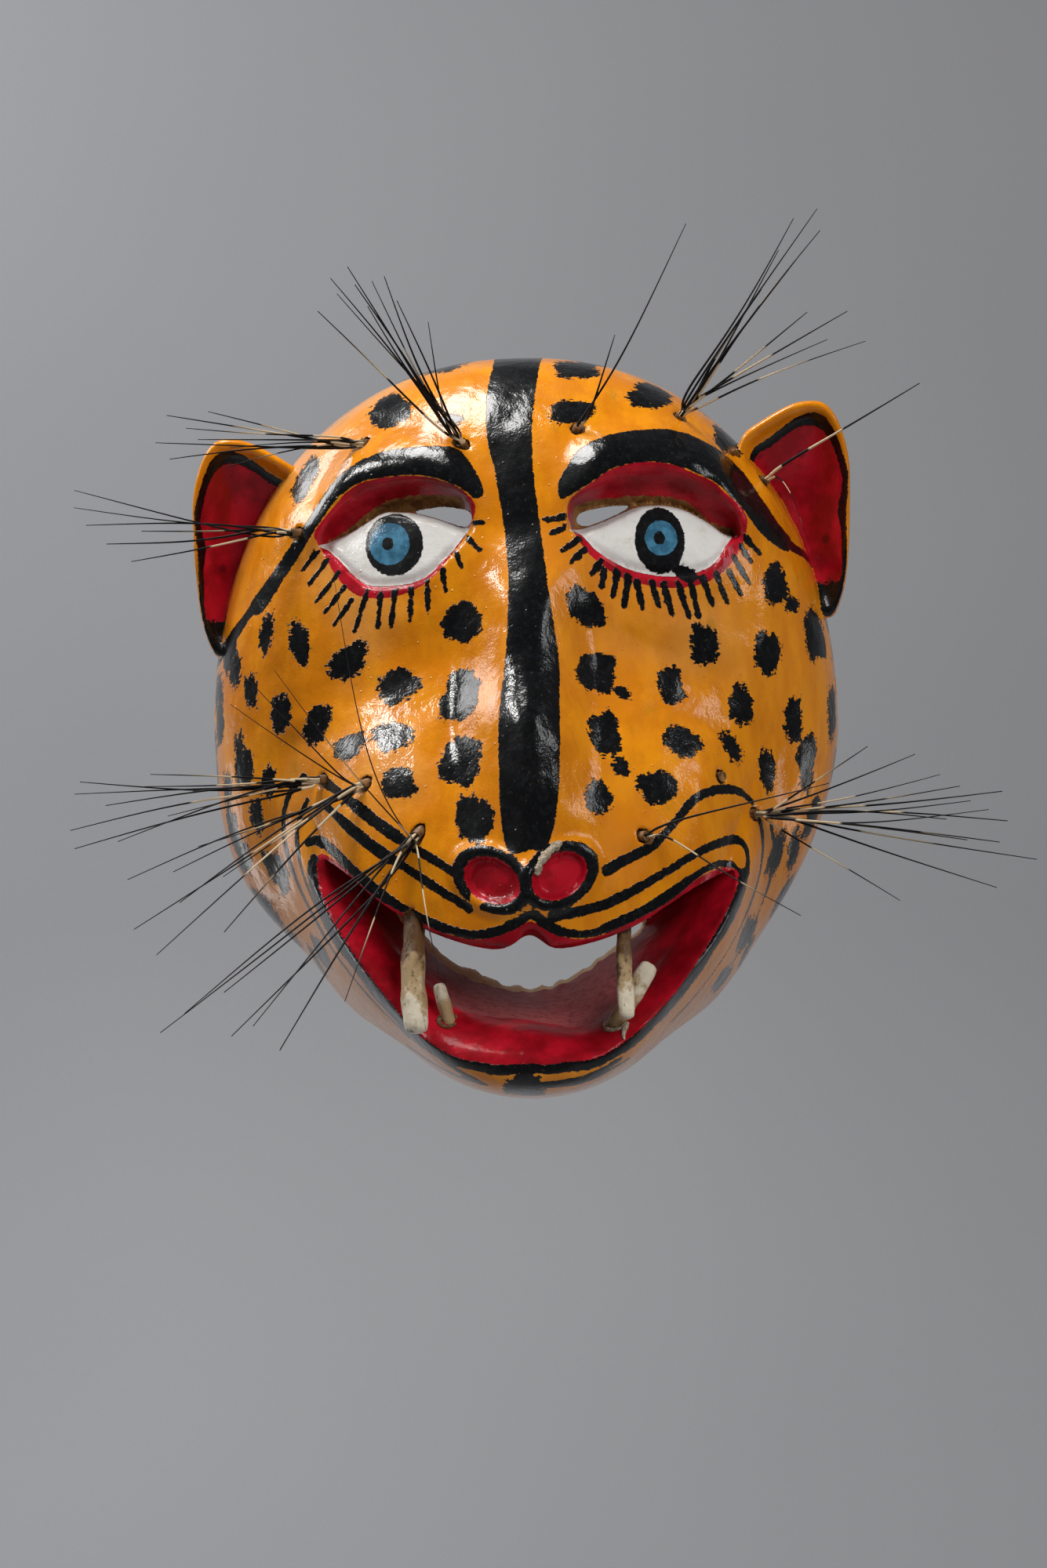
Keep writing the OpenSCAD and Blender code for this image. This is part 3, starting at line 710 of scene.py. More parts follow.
# The painted edge of the upper lip, from the lower side of its black line down past the mouth
LIP_RED = [(-72, -38), (-60, -45.5), (-50, -54.5), (-40, -60.5), (-30, -65.5), (-20, -68.5), (-12, -67.5),
    (-5, -64.5), (0, -61.5), (5, -65.5), (12, -68.5), (20, -69), (28, -65.5), (38, -61.5), (48, -55.5),
    (55, -50.5), (62, -47.5), (69, -47), (69, -52), (45, -66), (20, -80), (-20, -80), (-45, -70),
    (-72, -46)]


def mouth_fields(p):
    """Gloss red gum near the lips, matte pink towards the throat, and torn bare wood at the end."""
    x, y, z = p.T
    floor = ease(32, 24, np.abs(x - 1))
    pink = np.where(floor > 0.01, y + 97 + 1.5 * waves(x, z, 16, 9), -FAR) * floor - 3 * (1 - floor)
    bare = y + 60 + 6 * ease(6, -20, x) + 1.6 * waves(x, z, 7, 19)
    return dict(red=np.full(len(p), FAR), bare=bare, pink=pink, torn=np.ones(len(p)))


def ear_fields(p):
    """Red bowl with a black outline, and a yellow edge and back."""
    side = np.sign(p[:, 0])
    x = np.abs(p[:, 0]) - EAR_X
    z = p[:, 2] - EAR_Z - np.where(side > 0, EAR_LIFT, 0)
    edge = resample(EAR_EDGE, 480, closed=True)
    order = np.argsort(np.arctan2(edge[:, 1], edge[:, 0]))
    angle = np.arctan2(edge[:, 1], edge[:, 0])[order]
    reach = np.interp(np.arctan2(z, x), angle, np.linalg.norm(edge, axis=1)[order], period=math.tau)
    inner = reach - np.hypot(x, z)
    q = np.hypot(x, z) / reach
    front = p[:, 1] < EAR_Y - EAR_DISH * q ** 2 + EAR_T * 0.42
    upper = ease(8, 32, z)
    inward = ease(6, -14, x) * ease(-8, 12, z)
    yellow = 1.3 + 2.8 * upper + 3.4 * inward + 0.4 * waves(x, z, 18, 6)
    band = 2.3 + 2.2 * upper + 0.4 * waves(x, z, 12, 7)
    tip = ease(-22, -34, z)
    black = np.where(front, np.maximum(band / 2 - np.abs(inner - yellow - band / 2), 2 * tip - 1), -FAR)
    black = np.where(inner < 1, np.minimum(black, inner - 1), black)
    red = np.where(front, inner - yellow - 0.5 * band, -FAR)
    dots = np.where(front, np.minimum(1, inner - 9), -FAR)
    return dict(black=black, red=red, dots=dots)


# Every paint field, with its value on a piece that doesn't set it
FIELDS = dict(black=-FAR, spots=-FAR, red=-FAR, white=-FAR, blue=-FAR, bare=-FAR, pink=-FAR, dots=-FAR,
              fade_and_sheen=0.0, torn=0.0)


def store(mesh, fields):
    for name, otherwise in FIELDS.items():
        values = fields.get(name, np.full(len(mesh.vertices), otherwise))
        add_layer(mesh, name, np.clip(values, -FAR, FAR))


# ---------------------------------------------------------------- materials
class Shader:
    """Short calls that build a node material."""

    def __init__(self, name):
        self.material = bpy.data.materials.new(name)
        self.material.use_nodes = True
        self.tree = self.material.node_tree
        self.tree.nodes.clear()
        self.out = self.tree.nodes.new("ShaderNodeOutputMaterial")
        self.bsdf = self.tree.nodes.new("ShaderNodeBsdfPrincipled")
        self.tree.links.new(self.bsdf.outputs[0], self.out.inputs[0])
        self.object_point = self.tree.nodes.new("ShaderNodeTexCoord").outputs["Object"]

    def put(self, socket, value):
        if isinstance(value, bpy.types.NodeSocket):
            self.tree.links.new(value, socket)
        else:
            socket.default_value = value

    def set(self, **values):
        for name, value in values.items():
            self.put(self.bsdf.inputs[name.replace("_", " ")], value)

    def math(self, op, a, b=0.0, c=0.0):
        n = self.tree.nodes.new("ShaderNodeMath")
        n.operation = op
        for socket, value in zip(n.inputs, (a, b, c)):
            self.put(socket, value)
        return n.outputs[0]

    def times(self, a, b):
        return self.math("MULTIPLY", a, b)

    def larger(self, a, b):
        return self.math("MAXIMUM", a, b)

    def stretched(self, scale):
        return self.pattern("ShaderNodeMapping", None, Scale=scale).outputs[0]

    def pattern(self, kind, at, **values):
        """A node that reads a position: the given one, or the object's own."""
        n = self.tree.nodes.new(kind)
        self.put(n.inputs["Vector"], at or self.object_point)
        for name, value in values.items():
            n.inputs[name].default_value = value
        return n

    def noise(self, scale, detail=3.0, rough=0.55, at=None, distortion=0.0):
        return self.pattern("ShaderNodeTexNoise", at, Scale=scale, Detail=detail, Roughness=rough,
                            Distortion=distortion).outputs[0]

    def cells(self, scale, at=None, feature="F1"):
        n = self.pattern("ShaderNodeTexVoronoi", at, Scale=scale)
        n.feature = feature
        return n.outputs["Distance"]

    def field(self, name):
        n = self.tree.nodes.new("ShaderNodeAttribute")
        n.attribute_name = name
        return n.outputs["Fac"]

    def ramp(self, value, low, high, to_low=0.0, to_high=1.0):
        n = self.tree.nodes.new("ShaderNodeMapRange")
        n.interpolation_type = "SMOOTHSTEP"
        for socket, v in zip(n.inputs, (value, low, high, to_low, to_high)):
            self.put(socket, v)
        return n.outputs[0]

    def mixed(self, data_type, factor, a, b, first_input, output):
        n = self.tree.nodes.new("ShaderNodeMix")
        n.data_type = data_type
        for index, value in ((0, factor), (first_input, a), (first_input + 1, b)):
            self.put(n.inputs[index], value)
        return n.outputs[output]

    def mix(self, factor, a, b):
        """One colour over another."""
        return self.mixed("RGBA", factor, a, b, 6, 2)

    def blend(self, factor, a, b):
        """A number between two numbers."""
        return self.mixed("FLOAT", factor, a, b, 2, 0)

    def bumped(self, height, distance, under=None):
        n = self.tree.nodes.new("ShaderNodeBump")
        n.inputs["Strength"].default_value = 1.0
        n.inputs["Distance"].default_value = distance
        self.put(n.inputs["Height"], height)
        if under is not None:
            self.put(n.inputs["Normal"], under)
        return n.outputs[0]


YELLOW, ORANGE = (0.72, 0.250, 0.004, 1), (0.60, 0.185, 0.003, 1)
# PEACH is laid on both as faded paint and as painted sheen
PEACH, OLIVE = (0.70, 0.32, 0.085, 1), (0.34, 0.20, 0.006, 1)
BLACK, CHARCOAL = (0.0030, 0.0032, 0.0036, 1), (0.010, 0.011, 0.013, 1)
RED, DARK_RED, DRIED_RED = (0.50, 0.006, 0.020, 1), (0.25, 0.003, 0.008, 1), (0.035, 0.004, 0.008, 1)
ROSE, WHITE, CREAM = (0.42, 0.085, 0.085, 1), (0.66, 0.64, 0.61, 1), (0.50, 0.46, 0.38, 1)
BLUE, DEEP_BLUE = (0.055, 0.185, 0.290, 1), (0.024, 0.095, 0.160, 1)
TORN_WOOD = (0.80, 0.56, 0.34, 1)
PALE_WOOD, DARK_WOOD = (0.33, 0.165, 0.055, 1), (0.15, 0.066, 0.022, 1)


def wood_colour(s):
    grain = s.noise(40, 5, 0.6, s.stretched((5.5, 5.5, 0.55)), 1.2)
    pores = s.noise(160, 3, 0.7, s.stretched((7, 7, 0.5)))
    tone = s.mix(s.ramp(grain, 0.35, 0.68), DARK_WOOD, PALE_WOOD)
    return s.mix(s.ramp(pores, 0.56, 0.70, 0.0, 0.55), tone, (0.07, 0.032, 0.012, 1)), grain, pores


def enamel_material():
    """Brushed household enamel over wood, laid out by the paint fields on the mesh."""
    s = Shader("brushed_enamel")
    ragged = s.math("SUBTRACT", s.noise(520, 4, 0.65), 0.5)
    bristle = s.math("SUBTRACT", s.noise(900, 2, 0.6, s.stretched((0.35, 1.0, 1.6))), 0.5)
    wander = s.math("ADD", s.times(ragged, 2.0), s.times(bristle, 1.1))

    def painted(name, roughen, soft=0.12):
        edge = s.math("MULTIPLY_ADD", wander, roughen, s.field(name))
        return s.ramp(edge, -soft, soft)

    dark = s.larger(painted("black", 0.7), painted("spots", 2.4))

    broad, streak = s.noise(14, 3, 0.5), s.noise(90, 4, 0.6, s.stretched((1.0, 1.0, 0.35)))
    tone = s.mix(s.ramp(streak, 0.38, 0.66), ORANGE, YELLOW)
    # Peach over the base tone: partly faded paint, partly painted sheen standing in for pale reflections
    peach_fade_and_sheen = s.times(s.ramp(broad, 0.46, 0.66, 0.0, 0.6), s.field("fade_and_sheen"))
    tone = s.mix(peach_fade_and_sheen, tone, PEACH)
    smear = s.noise(55, 5, 0.7, s.stretched((1.3, 1.3, 0.6)), 0.8)
    tone = s.mix(s.ramp(smear, 0.60, 0.74, 0.0, 0.55), tone, OLIVE)
    fine = s.noise(420, 4, 0.7)
    reds = s.mix(s.ramp(s.noise(70, 4, 0.6), 0.36, 0.66), DARK_RED, RED)
    pinks = s.mix(s.ramp(fine, 0.4, 0.7), ROSE, (0.24, 0.036, 0.040, 1))
    whites = s.mix(s.ramp(s.noise(120, 4, 0.7), 0.52, 0.72, 0.0, 0.5), WHITE, CREAM)
    blues = s.mix(s.ramp(s.noise(230, 3, 0.6), 0.38, 0.66), DEEP_BLUE, BLUE)
    specks = s.ramp(s.noise(760, 2, 0.8), 0.64, 0.72, 0.0, 0.5)
    blacks = s.mix(specks, s.mix(s.ramp(fine, 0.45, 0.75), BLACK, CHARCOAL), (0.07, 0.055, 0.035, 1))
    bare, grain, _ = wood_colour(s)
    bare = s.mix(s.times(s.field("torn"), s.ramp(grain, 0.2, 0.6, 0.7, 1.0)), bare, TORN_WOOD)

    dabs = s.times(s.ramp(s.cells(125), 0.26, 0.14, 0.0, 0.6), s.ramp(s.field("dots"), -0.5, 0.6))
    dabs = s.times(dabs, s.ramp(s.noise(60, 2), 0.42, 0.58))
    pink, wood = painted("pink", 1.0, 0.6), painted("bare", 1.3)
    colour = tone
    for where, paint in ((painted("red", 0.45), reds), (pink, pinks), (painted("white", 0.35), whites),
                         (dark, blacks), (painted("blue", 0.45), blues), (dabs, DRIED_RED), (wood, bare)):
        colour = s.mix(where, colour, paint)
    matte = wood
    for where, dull in ((pink, 0.8), (painted("white", 0.35, 0.3), 0.55), (painted("red", 1.0, 0.6), 0.45),
                        (s.field("torn"), 0.72)):
        matte = s.larger(matte, s.times(where, dull))
    patchy = s.ramp(s.noise(45, 3, 0.6), 0.35, 0.7, 0.20, 0.42)
    s.set(Base_Color=colour, Roughness=s.blend(matte, patchy, 0.72),
          Coat_Weight=s.blend(matte, 0.9, 0.0), Coat_Roughness=0.13, Coat_IOR=1.42, Specular_IOR_Level=0.08)
    lumps = s.bumped(s.noise(95, 2, 0.5), 0.0005)
    strokes = s.bumped(s.noise(360, 2, 0.5, s.stretched((1.0, 1.0, 0.6))), 0.00016, lumps)
    dust = s.ramp(s.cells(210), 0.11, 0.0)
    gritty = s.bumped(s.math("ADD", dust, s.times(s.noise(1300, 2, 0.5), 0.30)), 0.00024, strokes)
    layered = s.math("ADD", dark, painted("white", 0.35, 0.25))
    s.set(Normal=s.bumped(layered, 0.00018, gritty), Coat_Normal=s.bumped(layered, 0.00014, gritty))
    return s.material


def wood_material():
    """Bare carved wood of the hollow and the rim, with gouge marks and handling dirt."""
    s = Shader("bare_carved_wood")
    bare, grain, pores = wood_colour(s)
    dirt = s.noise(18, 4, 0.6)
    colour = s.mix(s.ramp(dirt, 0.50, 0.70, 0.0, 0.6), bare, (0.085, 0.045, 0.020, 1))
    s.set(Base_Color=colour, Roughness=s.ramp(grain, 0.3, 0.7, 0.62, 0.82))
    gouges = s.bumped(s.cells(95, s.stretched((1.0, 1.0, 0.42)), "SMOOTH_F1"), 0.0012)
    s.set(Normal=s.bumped(s.math("ADD", grain, pores), 0.0005, gouges))
    return s.material


def tooth_material():
    """Old animal tooth: ivory crown, brown root, fine cracks along its length."""
    s = Shader("old_tooth")
    along = s.field("along")
    blotch = s.noise(160, 4, 0.65)
    worn = s.math("ADD", along, s.times(s.math("SUBTRACT", blotch, 0.5), 0.9))
    colour = s.mix(s.ramp(worn, 0.30, 0.52), (0.13, 0.066, 0.026, 1), (0.42, 0.29, 0.15, 1))
    colour = s.mix(s.ramp(worn, 0.66, 0.84), colour, (0.70, 0.62, 0.47, 1))
    stain = s.ramp(s.noise(95, 4, 0.7), 0.56, 0.66, 0.0, 0.8)
    colour = s.mix(s.times(stain, s.ramp(along, 0.95, 0.55)), colour, (0.06, 0.032, 0.016, 1))
    cracks = s.noise(420, 5, 0.75, s.stretched((1.0, 1.0, 0.16)), 0.6)
    line = s.ramp(cracks, 0.60, 0.66)
    colour = s.mix(s.times(line, 0.75), colour, (0.10, 0.052, 0.022, 1))
    s.set(Base_Color=colour, Roughness=s.ramp(blotch, 0.3, 0.7, 0.34, 0.55), Subsurface_Weight=0.06,
          Subsurface_Radius=(0.004, 0.002, 0.001))
    pits = s.bumped(blotch, 0.0006)
    s.set(Normal=s.bumped(s.math("SUBTRACT", 1.0, line), 0.0003, pits))
    return s.material


def bristle_material():
    """Animal bristle banded in black and straw along its length."""
    s = Shader("banded_bristle")
    along, shade = s.field("along"), s.field("shade")
    stripe = s.math("SINE", s.math("MULTIPLY_ADD", along, 15.0, s.times(shade, 31.0)))
    pale = s.times(s.ramp(stripe, 0.05, 0.30), s.ramp(along, 0.92, 0.70))
    pale = s.times(pale, s.ramp(shade, 0.42, 0.60))
    root = s.times(s.ramp(along, 0.24, 0.06), s.ramp(shade, 0.15, 0.40))
    colour = s.mix(s.larger(pale, root), (0.006, 0.0055, 0.0055, 1), (0.60, 0.47, 0.30, 1))
    s.set(Base_Color=colour, Roughness=s.ramp(s.noise(500, 2), 0.3, 0.7, 0.42, 0.60),
          Specular_IOR_Level=0.22)
    s.set(Normal=s.bumped(s.noise(1500, 2, 0.6), 0.00004))
    return s.material


def plug_material():
    """Whittled peg, dark with glue and age."""
    s = Shader("whittled_plug")
    bare, grain, _ = wood_colour(s)
    colour = s.mix(s.ramp(s.noise(330, 3, 0.6), 0.40, 0.62), bare, (0.065, 0.030, 0.012, 1))
    s.set(Base_Color=colour, Roughness=s.ramp(grain, 0.3, 0.7, 0.45, 0.7))
    s.set(Normal=s.bumped(s.noise(700, 3), 0.0003))
    return s.material


def glue_material(name, base, dark):
    """Dried glue: crusted, pale, with crumbs and holes."""
    s = Shader(name)
    crumbs = s.noise(900, 4, 0.75)
    colour = s.mix(s.ramp(crumbs, 0.40, 0.62), dark, base)
    s.set(Base_Color=colour, Roughness=s.ramp(crumbs, 0.3, 0.7, 0.35, 0.6))
    s.set(Normal=s.bumped(crumbs, 0.0009))
    return s.material


ENAMEL, BARE, TOOTH, HAIR, PLUG = (f() for f in (
    enamel_material, wood_material, tooth_material, bristle_material, plug_material))
PALE_GLUE = glue_material("dried_pale_glue", (0.60, 0.52, 0.40, 1), (0.33, 0.24, 0.15, 1))
BROWN_GLUE = glue_material("dried_brown_glue", (0.30, 0.16, 0.07, 1), (0.10, 0.045, 0.020, 1))
HEAD_MATERIALS = [ENAMEL, BARE, ENAMEL, ENAMEL]


# ---------------------------------------------------------------- fittings
# Each fang: where it leaves the gum, its tip, and its radius
FANGS = {"upper_left_fang": ((-38, -106, -66), (-38, -119, -98), 4.2),
         "upper_right_fang": ((30.6, -107, -68), (30.4, -118, -95), 2.8),
         "lower_left_fang": ((-26, -106, -103), (-31, -104, -83), 2.3),
         "lower_right_fang": ((23, -107, -104), (39, -104, -78), 3.3)}
PEG = 7.0
HOLE_R, HOLE_D = 2.35, 8.0
# The direction that each whisker hole is drilled along, from its bottom outwards
DRILLED = {
    "left_brow": (-0.42, -0.60, 0.68), "left_forehead": (-0.80, -0.60, 0.02),
    "left_temple": (-0.85, -0.50, -0.02), "left_muzzle_back": (-0.92, -0.38, -0.06),
    "left_muzzle_middle": (-0.78, -0.56, -0.26), "left_muzzle_front": (-0.55, -0.62, -0.56),
    "right_brow": (0.38, -0.50, 0.76), "right_forehead": (0.50, -0.50, 0.70),
    "right_temple": (0.75, -0.55, 0.38), "right_muzzle_back": (0.92, -0.38, -0.02),
    "right_muzzle_middle": (0.60, -0.80, 0.05), "right_muzzle_front": (0.75, -0.62, 0.05)}
# Where the tie cord's two holes start, and their radius
TIES = [(-80, -14, 10), (80, -14, 14)]
TIE_R = 2.5


def hole_root(name):
    """Bottom of a drilled hole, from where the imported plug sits."""
    lo, hi = (np.array(c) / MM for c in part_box(name + "_plug"))
    return (lo + hi) / 2 - (HOLE_D + 0.6) / 2 * unit(DRILLED[name])


def carve_head():
    """The whole carving as one closed mesh: block, ears, mouth, slits and holes."""
    head = carved_block()
    for side in (-1, 1):
        combine(head, ear_blade(side), "UNION")
    tools = [mouth_tool(), *(slit_tool(outline) for outline in SLITS)]
    for i, (name, axis) in enumerate(DRILLED.items()):
        profile = [(t, HOLE_R * (1 + 0.22 * ease(5, 11, t))) for t in np.linspace(0, HOLE_D + 9, 12)]
        tools.append(lathe("drill", hole_root(name), axis, profile, 28, 0.05, 40 + i))
    for start, tip, radius in FANGS.values():
        d = unit(np.subtract(tip, start))
        profile = [(t, radius * 1.12) for t in np.linspace(0, PEG + 1.5, 8)]
        tools.append(lathe("socket", np.subtract(start, PEG * d), d, profile, 28, 0.06, 60))
    for start in TIES:
        profile = [(t, TIE_R) for t in np.linspace(0, HALF_W / 2, 20)]
        tools.append(lathe("awl", start, (start[0], 0, 0), profile))
    for tool in tools:
        combine(head, tool, "DIFFERENCE")
    return head


def soften_edges(mesh):
    """Rounds the cut edges between differently treated faces, as thick paint and wear do."""
    rings, fade = 3, 0.72
    passes, pull = 7, 0.55
    p = points_of(mesh)
    edges = np.empty(len(mesh.edges) * 2, np.int64)
    mesh.edges.foreach_get("vertices", edges)
    a, b = edges.reshape(-1, 2).T
    slot_low, slot_high = np.full(len(p), 99), np.full(len(p), -1)
    for f in mesh.polygons:
        for v in f.vertices:
            slot_low[v] = min(slot_low[v], f.material_index)
            slot_high[v] = max(slot_high[v], f.material_index)
    closeness = np.where((slot_high > slot_low) & (p[:, 1] < -3), 1.0, 0.0)
    ties = np.bincount(a, minlength=len(p)) + np.bincount(b, minlength=len(p))
    for _ in range(rings):
        spread = closeness.copy()
        np.maximum.at(spread, a, fade * closeness[b])
        np.maximum.at(spread, b, fade * closeness[a])
        closeness = spread
    for _ in range(passes):
        total = np.zeros_like(p)
        for c in range(3):
            total[:, c] = np.bincount(a, p[b, c], len(p)) + np.bincount(b, p[a, c], len(p))
        mean = total / np.maximum(1, ties)[:, None]
        p = p + pull * closeness[:, None] * (mean - p)
    mesh.vertices.foreach_set("co", (p * MM).ravel())
    mesh.update()


def part_of(head, name, slot):
    """A copy of the head with only the faces of one slot."""
    obj = head.copy()
    obj.data = head.data.copy()
    obj.name = obj.data.name = name
    bpy.context.scene.collection.objects.link(obj)
    bm = bmesh.new()
    bm.from_mesh(obj.data)
    bmesh.ops.delete(bm, geom=[f for f in bm.faces if f.material_index != slot], context="FACES")
    bm.to_mesh(obj.data)
    bm.free()
    return obj


def finish_piece(obj, node):
    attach(obj, "root")
    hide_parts(node)


def make_mask():
    head = carve_head()
    soften_edges(head.data)
    for name, slot, fields in (("mask_skin", SKIN, skin_fields), ("mask_mouth", MOUTH, mouth_fields),
                               ("mask_ears", EAR, ear_fields), ("mask_back", WOOD, None)):
        obj = part_of(head, name, slot)
        if fields:
            store(obj.data, fields(points_of(obj.data)))
        obj.data.set_sharp_from_angle(angle=math.radians(50))
        finish_piece(obj, "mask_shell")
    bpy.data.objects.remove(head)


def make_fang(name, start, tip, radius, seed):
    """An uneven tooth: peg, swelling root, narrower neck and a chipped crown."""
    rng = np.random.default_rng(seed)
    start, tip = np.array(start, float), np.array(tip, float)
    radius = 0.88 * radius
    d = unit(tip - start)
    length = np.linalg.norm(tip - start) + PEG
    u, v = side_axes(d)
    rows, sides = 60, 40
    t = np.linspace(0, 1, rows)
    width = radius * np.interp(t, [0, 0.25, 0.4, 0.62, 0.72, 0.92, 0.98, 1],
                               [0.90, 0.86, 1.02, 0.96, 1.08, 1.00, 0.86, 0.42])
    a = math.tau * np.arange(sides) / sides
    lobes = 0.09 * np.cos(2 * a + rng.uniform(0, 6)) + 0.05 * np.cos(3 * a + rng.uniform(0, 6))
    rings = []
    for ti, w in zip(t, width):
        chips = 0.035 * np.sin(5 * a + 9 * ti + seed) * ti + 0.02 * np.sin(11 * a + 23 * ti)
        bend = 0.25 * radius * math.sin(math.pi * ti) * u
        rings.append(ring_around(start + (length * ti - PEG) * d + bend, u, v, w * (1 + lobes + chips)))
    obj = closed_body(name + "_tooth", rings, [TOOTH])
    add_layer(obj.data, "along", np.append(np.repeat(t, sides), [0, 1]))
    finish_piece(obj, name)


# Where each tuft's bristles end: (x, z) as seen from the front
TIPS = {
    "left_brow": [(-62, 152), (-56, 155), (-60, 147), (-54, 150), (-48, 150), (-44, 152), (-50, 143),
        (-40, 144), (-30, 138), (-66, 140)],
    "left_forehead": [(-118, 108), (-112, 104), (-108, 100), (-122, 99), (-100, 92), (-118, 94),
        (-105, 110), (-98, 98)],
    "left_temple": [(-150, 84), (-146, 72), (-140, 66), (-132, 60), (-150, 78), (-128, 70)],
    "left_muzzle_back": [(-148, -14), (-150, -18), (-140, -22), (-152, -30), (-128, -16), (-150, -36),
        (-120, -26), (-136, -34), (-112, -18), (-125, -12)],
    "left_muzzle_middle": [(-128, -62), (-120, -70), (-114, -54), (-100, -46), (-96, 10), (-130, -46),
        (-108, -36), (-90, 18), (-116, -44), (-100, -64)],
    "left_muzzle_front": [(-60, 48), (-80, 20), (-110, -88), (-118, -94), (-98, -82), (-88, -92),
        (-80, -100), (-60, -86), (-30, -78), (-96, -96)],
    "right_brow": [(57, 168), (33, 134)],
    "right_forehead": [(102, 174), (94, 171), (103, 167), (96, 159), (90, 163), (112, 140), (119, 131),
        (106, 132), (99, 141), (84, 150)],
    "right_temple": [(137, 116), (99, 64)],
    "right_muzzle_back": [(169, -47), (157, -41), (160, -34), (153, -30), (148, -27), (144, -22),
        (157, -24), (130, -11), (138, -18), (124, -60), (155, -56), (114, -8), (146, -40), (140, -33)],
    "right_muzzle_front": [(96, -20), (86, -62)],
}
BRISTLE_R = 0.49


def make_tuft(name, seed):
    """Tapered banded bristles that leave one hole and fan out to their tips."""
    rng = np.random.default_rng(seed)
    axis = unit(DRILLED[name])
    root = hole_root(name)
    u, v = side_axes(axis)
    rows, sides = 26, 6
    t = np.linspace(0, 1, rows)[:, None]
    w = t ** 1.1
    rings, faces, tones = [], [], []
    for i, (tx, tz) in enumerate(TIPS[name]):
        around = math.tau * i * 0.618
        start = root + 0.8 * (math.cos(around) * u + math.sin(around) * v)
        mouth = start + (HOLE_D + 2) * axis
        flat = math.hypot(tx - mouth[0], tz - mouth[2])
        lean = axis[1] / math.hypot(axis[0], axis[2])
        tip = np.array([tx, mouth[1] + flat * lean * rng.uniform(0.55, 0.95), tz])
        reach = np.linalg.norm(tip - mouth)
        turn = mouth + axis * min(0.25 * reach, 6.0)
        radius = BRISTLE_R * rng.uniform(0.8, 1.2) * (1 - 0.70 * t ** 2)
        tones.append(rng.uniform())
        kink = rng.normal(size=(2, 3)) * reach * 0.016
        line = (1 - w) ** 2 * mouth + 2 * w * (1 - w) * turn + w * w * tip
        line = line + np.sin(math.pi * t) * kink[0] + 0.5 * np.sin(math.tau * t) * kink[1]
        line[0] = start
        base = len(rings) * sides
        end = base + rows * sides
        rings += [ring_around(c, u, v, np.repeat(r, sides)) for c, r in zip(line, radius)]
        faces += [*grid_faces(rows, sides, base), [*range(base, base + sides)], [*range(end - sides, end)]]
    obj = make_object(name + "_hair", np.concatenate(rings), faces, [HAIR])
    add_layer(obj.data, "along", np.tile(np.repeat(t, sides), len(tones)))
    add_layer(obj.data, "shade", np.repeat(tones, rows * sides))
    finish_piece(obj, name + "_bristles")


def make_glue(node, centres, radius, material, seed):
    """A crusted bead of dried glue along a few points."""
    rng = np.random.default_rng(seed)
    line = resample(centres, 40)
    sides = 20
    rings = []
    for t, centre, along in zip(np.linspace(0, 1, len(line)), line, np.gradient(line, axis=0)):
        u, v = side_axes(unit(along))
        swell = math.sqrt(max(0.02, 1 - (2 * t - 1) ** 6))
        swell = swell * (1 + 0.16 * math.sin(17 * t) + 0.1 * math.sin(41 * t))
        rings.append(ring_around(centre, u, 0.8 * v, radius * swell * (1 + 0.10 * rng.normal(size=sides))))
    finish_piece(closed_body(node + "_bead", rings, [material]), node)


def gum_height(gum, x, y):
    """Height of the lower gum at a place, from the closest points of the carved mouth."""
    low = gum[gum[:, 2] < -80]
    near = np.argsort(np.hypot(low[:, 0] - x, low[:, 1] - y))[:6]
    return float(low[near, 2].mean())


def leaving_point(gum, fang):
    start, tip, _ = fang
    steps = [np.add(start, t * np.subtract(tip, start)) for t in np.linspace(-0.3, 0.9, 40)]
    return next(q for q in steps if q[2] > gum_height(gum, q[0], q[1]))


def make_fittings():
    for i, (name, fang) in enumerate(FANGS.items()):
        make_fang(name, *fang, 3 + i)
    for i, name in enumerate(TIPS):
        make_tuft(name, 20 + i)
    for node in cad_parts:
        if node.endswith("_plug"):
            bpy.data.objects[node].data.materials.clear()
            bpy.data.objects[node].data.materials.append(PLUG)
    strip = [on_face(x, z)[0] - 0.5 * Y_AXIS for x, z in ((2, -48), (3, -44), (6, -40), (10.5, -37))]
    make_glue("nostril_glue_strip", strip, 1.6, PALE_GLUE, 5)
    gum = points_of(bpy.data.objects["mask_mouth"].data)
    for fang, material, drip in (("lower_left_fang", BROWN_GLUE, []),
                                 ("lower_right_fang", PALE_GLUE, [(1.5, -6.5, 0.3), (2.0, -9, 0.3)])):
        x, y, _ = leaving_point(gum, FANGS[fang])
        r = FANGS[fang][2] + 0.7
        bead = [(r * math.cos(a), r * math.sin(a), 0.2) for a in np.linspace(0.3, math.tau - 0.5, 14)]
        bead = [(x + dx, y + dy, gum_height(gum, x + dx, y + dy) + up) for dx, dy, up in bead + drip]
        make_glue(fang + "_glue", bead, 0.85, material, 8)


# ---------------------------------------------------------------- studio
def area_light(name, where, size, power, colour=(1, 1, 1), towards=(0, 0, 0), mirrored=True):
    """A rectangular lamp aimed at a point; mirrored says whether gloss shows it."""
    light = bpy.data.lights.new(name, "AREA")
    light.shape = "RECTANGLE"
    light.size, light.size_y = size
    light.energy, light.color = power, colour
    obj = bpy.data.objects.new(name, light)
    obj.location = where
    obj.visible_glossy = mirrored
    obj.rotation_euler = (Vector(towards) - Vector(where)).to_track_quat("-Z", "Y").to_euler()
    bpy.context.scene.collection.objects.link(obj)


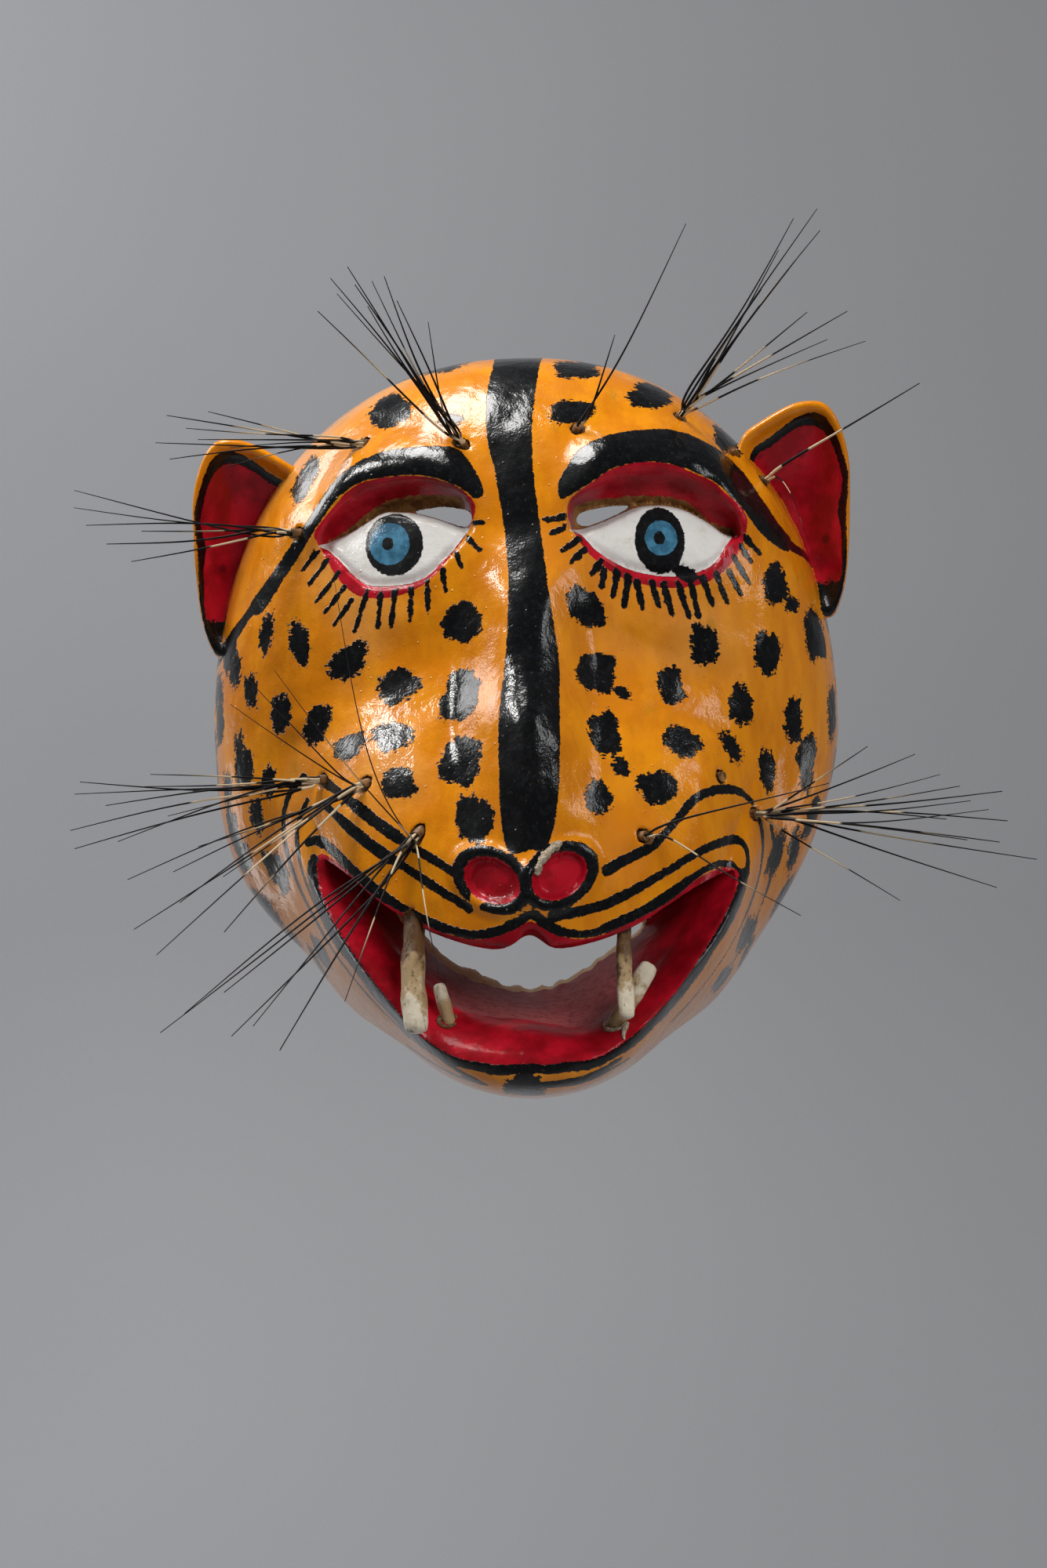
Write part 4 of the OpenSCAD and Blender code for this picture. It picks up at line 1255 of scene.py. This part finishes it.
def backdrop():
    """A seamless sweep of pale paper: floor, bend and wall."""
    s = Shader("pale_paper")
    tone = s.mix(s.ramp(s.noise(1.2, 2), 0.3, 0.7), (0.32, 0.323, 0.338, 1), (0.35, 0.353, 0.368, 1))
    s.set(Base_Color=tone, Roughness=s.ramp(s.noise(400, 2), 0.3, 0.7, 0.85, 0.95))
    s.set(Normal=s.bumped(s.noise(900, 2), 0.0001))
    floor, wall, bend, half, across = -620.0, 1500.0, 500.0, 3200.0, 9
    line = [(-2600.0, floor), (wall - bend, floor)]
    line += [(wall - bend + bend * math.sin(a), floor + bend * (1 - math.cos(a)))
             for a in np.linspace(0.08, math.pi / 2, 20)]
    line += [(wall, 2600.0)]
    points = [(x, y, z) for y, z in line for x in np.linspace(-half, half, across)]
    corners = [j * across + i for j in range(len(line) - 1) for i in range(across - 1)]
    faces = [(c, c + 1, c + across + 1, c + across) for c in corners]
    make_object("paper_sweep", points, faces, [s.material])


def studio():
    backdrop()
    bpy.context.scene.view_settings.view_transform = "Standard"
    world = bpy.data.worlds.new("dim_room")
    world.use_nodes = True
    background = world.node_tree.nodes["Background"]
    background.inputs["Color"].default_value = (0.55, 0.57, 0.60, 1)
    background.inputs["Strength"].default_value = 0.12
    bpy.context.scene.world = world
    area_light("fill", (1.00, -1.70, 1.00), (1.2, 1.2), 26, (1, 0.99, 0.98), mirrored=False)
    area_light("sky_box", (-0.22, -0.06, 0.96), (0.42, 0.34), 8.5, (1, 0.99, 0.97))
    area_light("left_box", (-0.70, -0.26, 0.86), (0.17, 0.17), 3.6, (1, 0.985, 0.96))
    area_light("right_box", (0.86, -0.34, 0.55), (0.12, 0.30), 0.8, (0.98, 0.99, 1))
    area_light("left_edge", (-1.00, 0.62, -0.35), (0.25, 0.7), 1.3)
    area_light("right_edge", (1.10, 0.30, -0.45), (0.25, 0.7), 1.3)
    area_light("wall_wash", (-1.5, 0.6, 1.2), (1.0, 1.0), 27, towards=(-0.9, 1.5, -0.35))
    # Camera held level in front of the mask, turned a little about its own axis
    cam = bpy.data.cameras.new("camera")
    cam.sensor_width, cam.lens = 36.0, 81.0
    obj = bpy.data.objects.new("camera", cam)
    obj.location = (-0.0015, -1.265, -0.018)
    level, roll = Matrix.Rotation(math.pi / 2, 3, "X"), Matrix.Rotation(math.radians(-1.3), 3, "Z")
    obj.rotation_euler = (level @ roll).to_euler()
    bpy.context.scene.collection.objects.link(obj)
    bpy.context.scene.camera = obj


studio()
make_mask()
make_fittings()
